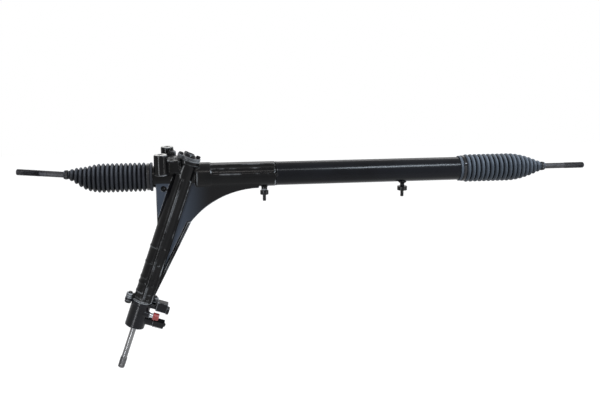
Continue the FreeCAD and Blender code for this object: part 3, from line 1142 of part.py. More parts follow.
fill_sheet()
make_casting()
make_tube()
make_ports()
make_yoke()
make_tower_end()
make_valve_housing()
make_line_plugs()
make_pinion()
make_valve()
make_rack_bar()
make_piston()
for side, start_x, seat_rad, lip_rad in (("left", "left_boot_x", "barrel_rad", "left_lip_rad"),
                                         ("right", "right_boot_x", "tube_rad", "right_lip_rad")):
    make_tie_rod(side)
    make_boot(side, start_x, seat_rad, lip_rad)
check_and_write()
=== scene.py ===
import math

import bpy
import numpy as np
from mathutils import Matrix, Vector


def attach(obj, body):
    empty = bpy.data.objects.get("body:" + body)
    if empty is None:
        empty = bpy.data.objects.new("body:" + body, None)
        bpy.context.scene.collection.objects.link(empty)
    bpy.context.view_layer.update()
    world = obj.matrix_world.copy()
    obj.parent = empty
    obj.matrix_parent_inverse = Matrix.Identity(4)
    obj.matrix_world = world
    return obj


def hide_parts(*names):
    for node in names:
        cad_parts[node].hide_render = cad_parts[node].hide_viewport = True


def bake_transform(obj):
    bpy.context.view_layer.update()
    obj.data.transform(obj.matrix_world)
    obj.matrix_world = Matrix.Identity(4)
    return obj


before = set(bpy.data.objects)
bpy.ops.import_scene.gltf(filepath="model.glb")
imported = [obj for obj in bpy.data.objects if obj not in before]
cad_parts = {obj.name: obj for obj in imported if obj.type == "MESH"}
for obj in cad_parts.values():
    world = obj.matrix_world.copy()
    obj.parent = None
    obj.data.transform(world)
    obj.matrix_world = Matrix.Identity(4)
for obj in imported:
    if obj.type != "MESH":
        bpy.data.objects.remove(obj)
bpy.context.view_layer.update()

# %% [markdown]
# # A power steering rack
# The fixed frame is a set of plain solids: where each piece sits and how it moves is settled there.
# This lesson gives them the look of the real object: black paint over a casting and a steel tube,
# bright steel where the column is joined on, and dark rubber bellows over the ball joints.
# Each step says what the real piece is, how it could be made here, and why one way was picked.

MM = 0.001
scene = bpy.context.scene
print("frame nodes:", len(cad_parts))

# %% [markdown]
# ## Where things are
# Most pieces are round, so each is worked out along its own axis and then put in place. A place is
# an origin and three directions, kept as the rows of a small matrix: the first row is the piece's
# own axis. The rack lies along X, the pinion tower leans away from it, and each tie rod starts at
# the centre of its ball.

# %% Places of the main axes
RACK_Z = -59.0
CROSS_X = 39.5
PINION_Y = -17.0
TILT = math.radians(19.4)
RISE = math.radians(5.0)
LEFT_BALL_X = -102.0
RIGHT_BALL_X = 781.0


def place(origin, along, side=(0, 1, 0)):
    """An origin in millimetres and three unit directions: along, side, and their cross product."""
    first = np.array(along, float)
    first = first / np.linalg.norm(first)
    second = np.array(side, float)
    second = second - first * (second @ first)
    second = second / np.linalg.norm(second)
    return np.array(origin, float), np.array([first, second, np.cross(first, second)])


def down_tower(side, front, down):
    """A point of the leaning tower: to the right of its axis, in front of it, and down it."""
    return (CROSS_X + side * math.cos(TILT) - down * math.sin(TILT), PINION_Y - front,
            RACK_Z - down * math.cos(TILT) - side * math.sin(TILT))


RACK = place((0, 0, RACK_Z), (1, 0, 0))
TOWER = place(down_tower(0, 0, 0), (-math.sin(TILT), 0, -math.cos(TILT)))
ACROSS = (math.cos(TILT), 0, -math.sin(TILT))
LEFT_END = place((LEFT_BALL_X, 0, RACK_Z), (-1, 0, 0))
RIGHT_END = place((RIGHT_BALL_X, 0, RACK_Z), (1, 0, 0))
LEFT_ROD = place((LEFT_BALL_X, 0, RACK_Z), (-math.cos(RISE), 0, math.sin(RISE)))
RIGHT_ROD = RIGHT_END
print("tower foot in mm:", [round(c, 1) for c in down_tower(0, 0, 364)])

# %% [markdown]
# ## From arrays to a mesh
# A grid of points becomes a mesh in one go: the points go in with foreach_set and every four
# neighbours make a face. The volume that the faces enclose tells if they point outwards, and if it
# comes out negative the faces are turned. Edges sharper than a limit stay crisp and the rest is
# shaded smooth.

# %% Mesh helpers
CRISP = math.radians(32)


def enclosed(points, faces):
    """Signed volume: one sixth of the sum of a . (b x c) over the triangles of all faces."""
    a, b, c, d = (points[faces[:, i]] for i in range(4))
    first = np.einsum("ij,ij->i", a, np.cross(b, c)).sum()
    second = np.einsum("ij,ij->i", a, np.cross(c, d)).sum()
    return (first + second) / 6


def mesh_piece(name, points, faces, crisp=CRISP):
    """An object at the origin from points in millimetres and four-cornered faces.

    A face whose last two corners are the same point is a triangle, as at a pole."""
    if enclosed(points, faces) < 0:
        faces = faces[:, [0, 3, 2, 1]]
    three = (faces[:, 2] == faces[:, 3]) | (faces[:, 0] == faces[:, 1])
    flat = faces[three]
    flat = np.where((flat[:, 0] == flat[:, 1])[:, None], flat[:, [1, 2, 3]], flat[:, [0, 1, 2]])
    corners = np.concatenate([faces[~three].ravel(), flat.ravel()])
    counts = np.concatenate([np.full((~three).sum(), 4), np.full(three.sum(), 3)])
    mesh = bpy.data.meshes.new(name)
    mesh.vertices.add(len(points))
    mesh.vertices.foreach_set("co", (points * MM).astype(np.float32).ravel())
    mesh.loops.add(len(corners))
    mesh.loops.foreach_set("vertex_index", corners.astype(np.int32))
    mesh.polygons.add(len(counts))
    starts = np.concatenate([[0], np.cumsum(counts)[:-1]])
    mesh.polygons.foreach_set("loop_start", starts.astype(np.int32))
    mesh.polygons.foreach_set("use_smooth", np.ones(len(counts), bool))
    mesh.update(calc_edges=True)
    mesh.validate()
    mesh.set_sharp_from_angle(angle=crisp)
    piece = bpy.data.objects.new(name, mesh)
    scene.collection.objects.link(piece)
    return piece


def grid_faces(rows, columns, close_rows):
    """Corner numbers of a grid that closes on itself across its columns, and maybe its rows."""
    row = np.arange(rows if close_rows else rows - 1)[:, None]
    column = np.arange(columns)[None, :]
    after = (row + 1) % rows
    beside = (column + 1) % columns
    corners = [row * columns + column, row * columns + beside,
               after * columns + beside, after * columns + column]
    return np.stack(np.broadcast_arrays(*corners), axis=-1).reshape(-1, 4)


# %% [markdown]
# ## Turned pieces
# A lathe makes most of this object, so one function does too: it spins an outline of (place along
# the axis, radius) pairs. The outline may start and end on the axis, which gives poles, or be a
# closed loop, which gives a ring with a hole. Real edges are never perfectly sharp, so a second
# function first rounds the outline's corners, and that thin rounding is what catches the light.
# A third input, a ripple, adds to the radius by place and angle: it cuts threads, ribs and hexagons.

# %% Lathe helpers
TURN = 96
TINY = 1e-6
MOST_OF_EDGE = 0.45
EASE_STEPS = 3


def eased(outline, radius, loop=None):
    """The outline with each corner b replaced by the curve (1 - s)^2 a + 2 s (1 - s) b + s^2 c, where
    a and c lie on its two edges, at the radius from b or nearer where an edge is short.

    An outline with an end off the axis is a closed loop unless loop is False, which keeps both ends."""
    corners = np.array(outline, float)
    closed = (corners[0][1] > TINY or corners[-1][1] > TINY) if loop is None else loop
    before = np.roll(corners, 1, axis=0)
    after = np.roll(corners, -1, axis=0)
    back = before - corners
    ahead = after - corners
    long_back = np.linalg.norm(back, axis=1, keepdims=True)
    long_ahead = np.linalg.norm(ahead, axis=1, keepdims=True)
    cut = np.minimum(radius, MOST_OF_EDGE * np.minimum(long_back, long_ahead))
    start = corners + back / np.maximum(long_back, 1e-9) * cut
    end = corners + ahead / np.maximum(long_ahead, 1e-9) * cut
    share = np.linspace(0, 1, EASE_STEPS + 1)[None, :, None]
    rest = 1 - share
    curves = rest ** 2 * start[:, None] + 2 * share * rest * corners[:, None] + share ** 2 * end[:, None]
    if closed:
        return curves.reshape(-1, 2)
    return np.concatenate([corners[:1], curves[1:-1].reshape(-1, 2), corners[-1:]])


def finer(outline, step):
    """The outline with points added so that none of its runs is longer than a step."""
    rows = [outline[:1]]
    for first, last in zip(outline[:-1], outline[1:]):
        count = max(1, int(math.ceil(np.linalg.norm(last - first) / step)))
        rows.append(first + (last - first) * np.linspace(0, 1, count + 1)[1:, None])
    return np.concatenate(rows)


def turned(name, outline, where, ripple=None, segments=TURN, crisp=CRISP, bend=None):
    """Spins an outline round its axis: a point is (x, r cos v, r sin v), with r the radius plus the
    ripple at (x, v). It is then bent, if asked, and put in place."""
    outline = np.array(outline, float)
    poled = outline[0][1] < TINY and outline[-1][1] < TINY
    angle = np.arange(segments) * 2 * math.pi / segments
    along = np.repeat(outline[:, :1], segments, axis=1)
    radius = np.repeat(outline[:, 1:], segments, axis=1)
    if ripple is not None:
        radius = np.where(radius > TINY, ripple(along, angle[None, :], radius), 0)
    local = np.stack([along, radius * np.cos(angle), radius * np.sin(angle)], axis=-1)
    if bend is not None:
        local = bend(local)
    origin, axes = where
    points = local @ axes + origin
    rows = len(outline)
    if not poled:
        return mesh_piece(name, points.reshape(-1, 3), grid_faces(rows, segments, True), crisp)
    faces = grid_faces(rows, segments, False)
    index = np.arange(rows * segments).reshape(rows, segments)
    index[0] = 0
    index[-1] = (rows - 1) * segments
    used, shrunk = np.unique(index, return_inverse=True)
    return mesh_piece(name, points.reshape(-1, 3)[used], shrunk.reshape(-1)[faces], crisp)


def six_sided(start, end, flat):
    """A ripple that makes the outline six-sided between two places: the radius is held under
    flat / cos(a), where a is the angle to the nearest face's middle."""
    def ripple(along, angle, radius):
        near = (angle + math.pi / 6) % (math.pi / 3) - math.pi / 6
        inside = (along >= start - TINY) & (along <= end + TINY)
        return np.where(inside, np.minimum(radius, flat / np.cos(near)), radius)
    return ripple


print("lathe ready, segments:", TURN)

# %% [markdown]
# ## Finishes
# Every surface here shows the same few effects at different strengths: a fine grain from casting,
# moulding or grinding, soft patches where it was handled, and a few light specks of dust. They are
# worked out once, in a node group over Object coordinates, and each material gives the group its own
# scales. Paint, steel and rubber then differ in what they do with the three patterns.

# %% Node helpers
def add_node(tree, kind, **values):
    """A node of a tree, with its plain properties set by name."""
    node = tree.nodes.new(kind)
    for name, value in values.items():
        setattr(node, name, value)
    return node


def feed(tree, socket, value):
    """Link a socket to another one, or give it a plain value."""
    if isinstance(value, bpy.types.NodeSocket):
        tree.links.new(value, socket)
    else:
        socket.default_value = value


def sums(tree, kind, *values, clamp=False):
    """The result of a Math node."""
    node = add_node(tree, "ShaderNodeMath", operation=kind, use_clamp=clamp)
    for socket, value in zip(node.inputs, values):
        feed(tree, socket, value)
    return node.outputs[0]


def ramp(tree, value, low, high, to_low=0.0, to_high=1.0, smooth=False):
    """A value taken from one range to another and held inside it."""
    node = add_node(tree, "ShaderNodeMapRange", clamp=True)
    node.interpolation_type = "SMOOTHSTEP" if smooth else "LINEAR"
    for socket, given in zip(node.inputs, (value, low, high, to_low, to_high)):
        feed(tree, socket, given)
    return node.outputs[0]


def mixed(tree, share, first, second):
    """One colour passing into another."""
    node = add_node(tree, "ShaderNodeMix", data_type="RGBA")
    feed(tree, node.inputs["Factor"], share)
    feed(tree, node.inputs["A"], first)
    feed(tree, node.inputs["B"], second)
    return node.outputs["Result"]


def noise(tree, vector, scale, detail=3.0, rough=0.55):
    """Noise over the surface, from 0 to 1."""
    node = add_node(tree, "ShaderNodeTexNoise")
    feed(tree, node.inputs["Vector"], vector)
    feed(tree, node.inputs["Scale"], scale)
    node.inputs["Detail"].default_value = detail
    node.inputs["Roughness"].default_value = rough
    return node.outputs["Fac"]


def colour(red, green, blue):
    """A colour with full cover."""
    return (red, green, blue, 1.0)


def start_group(name, inputs, outputs):
    """An empty node group with named number inputs and outputs."""
    tree = bpy.data.node_groups.new(name, "ShaderNodeTree")
    for title, value in inputs:
        socket = tree.interface.new_socket(name=title, in_out="INPUT", socket_type="NodeSocketFloat")
        socket.default_value = value
    for title in outputs:
        tree.interface.new_socket(name=title, in_out="OUTPUT", socket_type="NodeSocketFloat")
    return tree, tree.nodes.new("NodeGroupInput").outputs, tree.nodes.new("NodeGroupOutput").inputs


# %% The group that all finishes share
SCALES = (("Grain Scale", 900.0), ("Patch Scale", 14.0), ("Speck Scale", 260.0))
surface, given, wanted = start_group("surface marks", SCALES, ("Grain", "Patches", "Specks"))
here = add_node(surface, "ShaderNodeTexCoord").outputs["Object"]
feed(surface, wanted["Grain"], noise(surface, here, given["Grain Scale"]))
patchy = noise(surface, here, given["Patch Scale"], detail=5.0, rough=0.6)
feed(surface, wanted["Patches"], ramp(surface, patchy, 0.35, 0.65, smooth=True))
dusty = noise(surface, here, given["Speck Scale"], detail=2.0)
feed(surface, wanted["Specks"], ramp(surface, dusty, 0.70, 0.76))
print("group:", surface.name)


# %% A finish built on the group
BUMP_HEIGHT = 0.0004
UNEVEN = 0.12


def finish(name, dark, light, rough=(0.3, 0.4), metal=0.0, scales=(900.0, 14.0, 260.0), grain=0.1,
           specks=0.0, dust=(0.3, 0.3, 0.3), level=0.5):
    """A material that goes from a dark to a light colour in patches, with its own grain and specks.

    rough is the roughness in the darkest and the lightest patch, and the grain moves it up and down
    by half of UNEVEN. grain is the strength of the bump, specks the cover of the dust, and level how
    much the surface reflects. It returns the material, its tree, its shader and the group's node."""
    material = bpy.data.materials.new(name)
    material.use_nodes = True
    tree = material.node_tree
    shader = tree.nodes["Principled BSDF"]
    marks = add_node(tree, "ShaderNodeGroup", node_tree=surface)
    for (title, _), value in zip(SCALES, scales):
        marks.inputs[title].default_value = value
    shade = mixed(tree, marks.outputs["Patches"], colour(*dark), colour(*light))
    if specks:
        shade = mixed(tree, sums(tree, "MULTIPLY", marks.outputs["Specks"], specks), shade, colour(*dust))
    feed(tree, shader.inputs["Base Color"], shade)
    uneven = sums(tree, "MULTIPLY_ADD", marks.outputs["Grain"], UNEVEN, -UNEVEN / 2)
    even = ramp(tree, marks.outputs["Patches"], 0.0, 1.0, *rough)
    feed(tree, shader.inputs["Roughness"], sums(tree, "ADD", even, uneven, clamp=True))
    shader.inputs["Metallic"].default_value = metal
    shader.inputs["Specular IOR Level"].default_value = level
    bump = add_node(tree, "ShaderNodeBump")
    bump.inputs["Strength"].default_value = grain
    bump.inputs["Distance"].default_value = BUMP_HEIGHT
    feed(tree, bump.inputs["Height"], marks.outputs["Grain"])
    feed(tree, shader.inputs["Normal"], bump.outputs["Normal"])
    return material, tree, shader, marks


def plain(*details, **more):
    """Only the material of a finish."""
    return finish(*details, **more)[0]


tube_paint = plain("gloss black tube paint", (0.0027, 0.003, 0.0042), (0.0048, 0.0054, 0.0075),
                   rough=(0.17, 0.22), scales=(260.0, 9.0, 330.0), grain=0.008, specks=0.15,
                   dust=(0.04, 0.045, 0.055), level=0.11)
plug_plastic = plain("black plug plastic", (0.0045, 0.0045, 0.005), (0.009, 0.009, 0.010),
                     rough=(0.14, 0.24), scales=(1400.0, 40.0, 300.0), specks=0.3,
                     dust=(0.08, 0.08, 0.08), level=0.16)
red_plastic = plain("red cap plastic", (0.20, 0.021, 0.020), (0.30, 0.037, 0.033), rough=(0.30, 0.42),
                    scales=(900.0, 60.0, 300.0), grain=0.06)
clamp_steel = plain("black clamp steel", (0.012, 0.012, 0.014), (0.022, 0.022, 0.024),
                    rough=(0.28, 0.4), metal=0.6, scales=(1500.0, 30.0, 300.0), grain=0.08)
zinc_clamp = plain("zinc clamp steel", (0.010, 0.010, 0.011), (0.020, 0.020, 0.022),
                   rough=(0.46, 0.6), metal=0.5, scales=(1500.0, 30.0, 300.0), grain=0.08)
bolt_steel = plain("oiled bolt steel", (0.007, 0.007, 0.008), (0.014, 0.014, 0.016),
                   rough=(0.26, 0.40), metal=0.6, scales=(1500.0, 50.0, 300.0), grain=0.12)
ground_steel = plain("ground steel", (0.42, 0.42, 0.42), (0.56, 0.56, 0.55), rough=(0.24, 0.34),
                     metal=1.0, scales=(1800.0, 40.0, 300.0), grain=0.06)
zinc_pipe = plain("plated pipe", (0.34, 0.36, 0.38), (0.50, 0.52, 0.54), rough=(0.25, 0.36), metal=1.0,
                  scales=(1200.0, 60.0, 300.0), grain=0.05)
acetal = plain("natural acetal", (0.60, 0.58, 0.50), (0.72, 0.70, 0.62), rough=(0.4, 0.5), grain=0.05)
seal_rubber = plain("black seal rubber", (0.012, 0.012, 0.012), (0.020, 0.020, 0.020),
                    rough=(0.5, 0.62))
ring_plastic = plain("filled ring plastic", (0.10, 0.10, 0.10), (0.15, 0.15, 0.15), rough=(0.4, 0.5))
bronze = plain("sintered bronze", (0.38, 0.24, 0.10), (0.50, 0.33, 0.15), rough=(0.35, 0.5), metal=1.0)
gasket_sheet = plain("gasket sheet", (0.030, 0.030, 0.028), (0.050, 0.050, 0.046), rough=(0.7, 0.8))
print("finishes so far:", len(bpy.data.materials))

# %% [markdown]
# ## Dressing what the frame already has
# Bearings, seals and the toothed bar are hidden inside, and their plain solids have the right shape.
# They only get a finish each. The rack bar's teeth and the pinion were cut to mesh, so they stay too.

# %% Finishes of the frame's own pieces
KEPT = {
    ground_steel: ("rack_bar", "piston", "pinion", "pinion_nut", "torsion_bar", "torsion_bar_pin",
                   "valve_sleeve", "pinion_tail_bearing", "pinion_needle_bearing", "valve_bearing",
                   "left_ball_socket", "right_ball_socket", "left_lock_washer", "right_lock_washer",
                   "outer_seal_carrier", "yoke_spring"),
    bolt_steel: ("piston_clips", "bush_retaining_ring"),
    acetal: ("rack_bush", "inner_seal_retainer", "left_ball_seat", "right_ball_seat"),
    seal_rubber: ("inner_rack_seal", "outer_rack_seal", "input_shaft_seal"),
    ring_plastic: ("piston_ring", "sleeve_rings"),
    bronze: ("rack_yoke",),
    gasket_sheet: ("tower_cover_gasket", "valve_housing_gasket"),
}


def dress(node, material):
    """Give a piece of the frame a finish in its own material slots."""
    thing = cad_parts[node]
    if not thing.material_slots:
        thing.data.materials.append(material)
    for slot in thing.material_slots:
        slot.material = material


for material, nodes in KEPT.items():
    for node in nodes:
        dress(node, material)
print("dressed:", sum(len(nodes) for nodes in KEPT.values()))


# %% Handing a new piece over to the frame
def settle(piece, material, body, *nodes, slot=None):
    """Give a piece its finish, let it ride on a body, and let it stand for nodes of the frame."""
    piece.data.materials.clear()
    piece.data.materials.append(material)
    if body:
        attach(piece, body)
    if nodes:
        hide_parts(*nodes)
    print("%-26s %6d faces" % (piece.name, len(piece.data.polygons)))


# %% [markdown]
# ## The cylinder tube
# The long right half of the rack is a drawn steel tube, painted gloss black after it was pressed
# into the casting. It is a plain ring in outline: thinner where it sits in the casting, with a small
# bead of paint where it comes out, and with rounded edges at both ends.

# %% Cylinder tube
TUBE = (231.0, 694.0)
SEAM_X = 248.2
TUBE_BORE = 23.5
TUBE_RAD = 27.0
SEAT_RAD = 25.3
BEAD_RAD = 27.5
tube_outline = eased([(TUBE[0], TUBE_BORE), (TUBE[1], TUBE_BORE), (TUBE[1], TUBE_RAD),
                      (SEAM_X + 3.8, TUBE_RAD), (SEAM_X + 2.8, BEAD_RAD), (SEAM_X + 1.0, BEAD_RAD),
                      (SEAM_X, TUBE_RAD), (SEAM_X, SEAT_RAD), (TUBE[0], SEAT_RAD)], 0.8)
settle(turned("tube_skin", tube_outline, RACK, segments=160), tube_paint, "housing", "cylinder_tube",
       slot="black_paint")

# %% [markdown]
# ## The bellows boots
# Each boot is one moulded rubber sleeve: a cuff clamped on the housing, round folds, and a nose that
# tapers to a neck on the tie rod. The outline is worked out fold by fold: a fold is a valley plus a
# crest whose height is a rounded half wave. The crests shrink along the nose as a sine does, so that
# its sides are convex, as on the real one. The sleeve has an inner side too, one wall thickness in.
#
# A boot spans two joints: the sliding rack and the swinging rod. A piece can bend across one joint
# only, so each boot is cut in two at a valley past the ball, where both cuts lie on one another; here
# neither half is hung on a body. The nose is fully turned to the rod's rise before it gets narrow.

# %% Outline of a boot
BOOT_CREST = 32.5
BOOT_WALL = 1.4
FOLDS = 17
NOSE_FOLDS = 7
FOLD_DEEP = 7.0
FOLD_POINTS = 12
LAST_FOLD = 99.0
SMALL_END = 116.0
NECK = 8.8
NECK_BORE = 6.8
CUFF = 28.8
CUFF_LONG = 13.0
LIP_LONG = 5.0
LEAD = 6.0
CUT_AT = 40.0


def boot_outline(start, seat, lip):
    """Outer and inner outline of a boot, by distance from the ball's centre.

    Fold i has the radius valley + (crest - valley) * sin(pi f) ** 0.75 at its fraction f."""
    first = start + CUFF_LONG + LEAD
    pitch = (LAST_FOLD - first) / (FOLDS - 1)
    number = np.arange(FOLDS + 1)
    share = np.minimum(1, (FOLDS - number) / (NOSE_FOLDS + 1.0))
    crest = NECK + (BOOT_CREST - NECK) * np.sin(share * math.pi / 2)
    valley = np.minimum(crest, np.roll(crest, 1)) - FOLD_DEEP * (0.4 + 0.6 * share)
    valley[0] = crest[0] - FOLD_DEEP
    valley = np.maximum(valley, NECK)
    fraction = np.linspace(0, 1, FOLD_POINTS + 1)[:-1]
    wave = np.sin(np.pi * fraction) ** 0.75
    base = valley[:-1, None] + (valley[1:] - valley[:-1])[:, None] * fraction
    radius = base + (crest[:-1, None] - base) * wave
    along = first + (number[:-1, None] - 0.5 + fraction) * pitch
    folds = np.stack([along.ravel(), radius.ravel()], axis=-1)
    folds = folds[folds[:, 0] > start + CUFF_LONG + 0.2]
    cuff = [(start, seat), (start, lip), (start + LIP_LONG, lip), (start + LIP_LONG + 1.0, CUFF),
            (start + CUFF_LONG, CUFF)]
    cuff = eased(cuff, 0.6, loop=False)[1:]
    end = LAST_FOLD + pitch / 2
    neck = np.array([(end, NECK), (end + 0.7, NECK + 0.7), (end + 1.6, NECK + 0.9), (end + 2.4, NECK),
                     (SMALL_END - 3.0, NECK), (SMALL_END - 2.2, NECK + 0.8), (SMALL_END - 0.8, NECK + 0.8),
                     (SMALL_END, NECK)])
    outer = np.concatenate([cuff, folds, neck])
    inner_folds = np.stack([folds[:, 0], np.maximum(folds[:, 1] - BOOT_WALL, NECK_BORE)], axis=-1)
    inner = np.concatenate([[(start, seat), (start + CUFF_LONG - 0.4, seat)], inner_folds,
                            [(end, NECK_BORE), (SMALL_END, NECK_BORE)]])
    return outer, inner, first + (math.floor((CUT_AT - first) / pitch) + 0.5) * pitch


BEND_FROM = 60.0


def bent(rise):
    """Lets a sleeve's axis turn by a rise, in degrees, from BEND_FROM to its last fold. A point moves
    to along * (cos a, sin a) plus its own offset turned by a, with a a smooth step."""
    def bend(local):
        along = local[..., 0]
        share = np.clip((along - BEND_FROM) / (LAST_FOLD - BEND_FROM), 0, 1)
        angle = math.radians(rise) * share * share * (3 - 2 * share)
        lift = local[..., 2]
        return np.stack([along * np.cos(angle) - lift * np.sin(angle), local[..., 1],
                         along * np.sin(angle) + lift * np.cos(angle)], axis=-1)
    return bend


def half_boot(name, outer, inner, low, high, where, rise):
    """The part of a sleeve between two places, as one closed ring."""
    keep = [line[(line[:, 0] >= low - TINY) & (line[:, 0] <= high + TINY)] for line in (outer, inner)]
    loop = np.concatenate([keep[0], keep[1][::-1]])
    return turned(name, loop, where, bend=bent(rise), segments=112, crisp=math.radians(60))


# %% Boot rubber
# Painted shade for the grooves between the folds, and how fully it covers them.
GROOVE_PAINTED_SHADE = (0.0045, 0.005, 0.006)
TOP_PAINTED_LIGHT = 0.35
GROOVE_SHADE_COVER = 0.95


def boot_rubber(name, dark, light, tint):
    """Dull rubber in a tint of its own, with dust specks, painted light on its upward faces and painted
    shade in its grooves.
    """
    material, tree, shader, _ = finish(name, dark, light, rough=(0.42, 0.54), scales=(700.0, 10.0, 220.0),
                                       grain=0.15, specks=0.2, dust=tint, level=0.13)
    upward = add_node(tree, "ShaderNodeTexCoord").outputs["Normal"]
    split = add_node(tree, "ShaderNodeSeparateXYZ")
    feed(tree, split.inputs[0], upward)
    # Faces that point up are paled towards the tint: painted light falling from above.
    top = ramp(tree, split.outputs["Z"], 0.1, 1.0, smooth=True)
    shade = shader.inputs["Base Color"].links[0].from_socket
    shade = mixed(tree, sums(tree, "MULTIPLY", top, TOP_PAINTED_LIGHT), shade, colour(*tint))
    # Pointiness is low in the grooves between the folds, and there the rubber gets painted shade.
    painted_groove_shade = ramp(tree, add_node(tree, "ShaderNodeNewGeometry").outputs["Pointiness"], 0.535, 0.475)
    shade = mixed(tree, sums(tree, "MULTIPLY", painted_groove_shade, GROOVE_SHADE_COVER), shade, colour(*GROOVE_PAINTED_SHADE))
    feed(tree, shader.inputs["Base Color"], shade)
    return material


left_rubber = boot_rubber("left boot rubber", (0.015, 0.0165, 0.0195), (0.0285, 0.030, 0.036),
                          (0.21, 0.225, 0.255))
right_rubber = boot_rubber("right boot rubber", (0.051, 0.061, 0.075), (0.081, 0.096, 0.117),
                           (0.30, 0.337, 0.39))

# %% Both boots
for side, start, seat, lip, where, rise, rubber in (
        ("left", -76.0, 24.05, 32.0, LEFT_END, -5.0, left_rubber),
        ("right", -99.0, 27.05, 29.4, RIGHT_END, 0.0, right_rubber)):
    outer, inner, cut = boot_outline(start, seat, lip)
    ball = LEFT_BALL_X if side == "left" else RIGHT_BALL_X
    bellows = half_boot(side + "_boot_bellows", outer, inner, start, cut, where, rise)
    nose = half_boot(side + "_boot_nose", outer, inner, cut, SMALL_END, where, rise)
    settle(bellows, rubber, None, side + "_boot", slot="rubber")
    settle(nose, rubber, None, side + "_boot", slot="rubber")
    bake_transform(bellows)
    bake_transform(nose)

# %% [markdown]
# ## Castings
# A casting has no sharp edges: metal flows round every corner and fills every inner one. So each
# cast piece starts as a copy of its exact solid, which is merged and cut into small even cells. A few
# rounds of smoothing then move each point halfway to its neighbours' mean, which rounds edges and
# fills corners by about two cells and leaves flat and round faces where they are.

# %% Cast pieces
SMOOTHINGS = 4
SAME_POINT = 0.00001


def cast_copy(name, node, cell):
    """A copy of a frame node in even cells of a size in millimetres, with its edges smoothed."""
    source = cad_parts[node]
    mesh = source.data.copy()
    mesh.transform(source.matrix_world)
    copy = bpy.data.objects.new(name, mesh)
    scene.collection.objects.link(copy)
    copy.modifiers.new("merged", "WELD").merge_threshold = SAME_POINT
    cells = copy.modifiers.new("cells", "REMESH")
    cells.mode = "VOXEL"
    cells.voxel_size = cell * MM
    soft = copy.modifiers.new("soft", "SMOOTH")
    soft.factor = 0.5
    soft.iterations = SMOOTHINGS
    done = bpy.data.meshes.new_from_object(copy.evaluated_get(bpy.context.evaluated_depsgraph_get()))
    copy.modifiers.clear()
    copy.data = done
    done.polygons.foreach_set("use_smooth", np.ones(len(done.polygons), bool))
    done.update()
    return copy


# %% Cast paint
MILLED_ABOVE = -0.6
WEB_FACE = -20.0
BARE_METAL = (0.45, 0.45, 0.44)
WORN_AND_HIGHLIT_EDGE = (0.44, 0.455, 0.47)
# The web's two colours are a painted reflection: pale and blue where it catches the light at its left,
# dark at its right.
WEB_SHEEN_PALE = (0.039, 0.048, 0.064)
WEB_SHEEN_DARK = (0.0052, 0.0051, 0.0054)


def split_of(tree, socket):
    """The three parts of a vector."""
    node = add_node(tree, "ShaderNodeSeparateXYZ")
    feed(tree, node.inputs[0], socket)
    return node.outputs


def cast_paint(name, dark, light, rough, level):
    """Satin black paint over cast metal, paler along edges where the patches are light: partly worn paint,
    partly a painted highlight on the edges.
    """
    material, tree, shader, marks = finish(name, dark, light, rough=rough, scales=(160.0, 16.0, 300.0),
                                           grain=0.06, specks=0.2, dust=(0.04, 0.043, 0.048), level=level)
    edges = add_node(tree, "ShaderNodeNewGeometry").outputs["Pointiness"]
    blotches = ramp(tree, marks.outputs["Patches"], 0.15, 0.9, 0.0, 0.9)
    # Sharp edges are paled: partly worn paint, partly a painted highlight along the ridges.
    worn_and_highlit = sums(tree, "MULTIPLY", ramp(tree, edges, 0.51, 0.56), blotches)
    shade = mixed(tree, worn_and_highlit, shader.inputs["Base Color"].links[0].from_socket, colour(*WORN_AND_HIGHLIT_EDGE))
    feed(tree, shader.inputs["Base Color"], shade)
    return material, tree, shader


def mark_casting(tree, shader):
    """Paints a sheen on the front of the web: a painted reflection, pale and blue at its left and dark at
    its right. It also bares the milled tops of the lugs.
    """
    places = add_node(tree, "ShaderNodeTexCoord")
    where = split_of(tree, places.outputs["Object"])
    front = ramp(tree, split_of(tree, places.outputs["Normal"])["Y"], -0.9, -0.98)
    depth = sums(tree, "ABSOLUTE", sums(tree, "SUBTRACT", where["Y"], WEB_FACE * MM))
    on_web = sums(tree, "MULTIPLY", front, ramp(tree, depth, 0.0012, 0.0006))
    # Painted reflection: the front face of the web passes from the pale sheen at its left to dark at its
    # right.
    rightward = ramp(tree, where["X"], 0.010, 0.105, smooth=True)
    satin = mixed(tree, rightward, colour(*WEB_SHEEN_PALE), colour(*WEB_SHEEN_DARK))
    shade = mixed(tree, on_web, shader.inputs["Base Color"].links[0].from_socket, satin)
    bare = ramp(tree, where["Z"], (MILLED_ABOVE - 0.3) * MM, MILLED_ABOVE * MM)
    feed(tree, shader.inputs["Base Color"], mixed(tree, bare, shade, colour(*BARE_METAL)))
    feed(tree, shader.inputs["Metallic"], bare)
    painted = shader.inputs["Roughness"].links[0].from_socket
    milled = sums(tree, "MULTIPLY", bare, 0.2)
    feed(tree, shader.inputs["Roughness"], sums(tree, "ADD", painted, milled, clamp=True))


casting_paint, casting_tree, casting_shader = cast_paint(
    "satin black cast paint", (0.0018, 0.0018, 0.0021), (0.0042, 0.004, 0.004), (0.16, 0.24), 0.13)
mark_casting(casting_tree, casting_shader)
valve_paint = cast_paint("satin black valve paint", (0.0023, 0.0023, 0.0032),
                         (0.0051, 0.0051, 0.0075), (0.22, 0.28), 0.17)[0]
settle(cast_copy("casting", "rack_housing", 1.75), casting_paint, "housing", "rack_housing",
       slot="cast_paint")
settle(cast_copy("valve_body", "valve_housing", 0.9), valve_paint, "housing", "valve_housing",
       slot="cast_paint")

# %% [markdown]
# ## End cover and bolts
# The pinion's upper end is closed by a round cover with a low dome, held by four small hexagon bolts.
# Two larger ones hold the valve housing under the tower. A bolt is turned like the rest, and its head
# is made six-sided by the ripple r = flat / cos(a).

# %% End cover and hexagon bolts
COVER_FACE = -50.8
FLANGE_FACE = 308.8
cover = [(-47.8, 0), (-47.8, 12.5), (-35.5, 12.5), (-35.5, 17.45), (-45.8, 17.45), (-45.8, 26),
         (COVER_FACE, 26), (COVER_FACE, 13), (-56.8, 10), (-56.8, 0)]
settle(turned("end_cover", eased(cover, 1.0), TOWER), valve_paint, "housing", "tower_end_cover",
       slot="cast_paint")


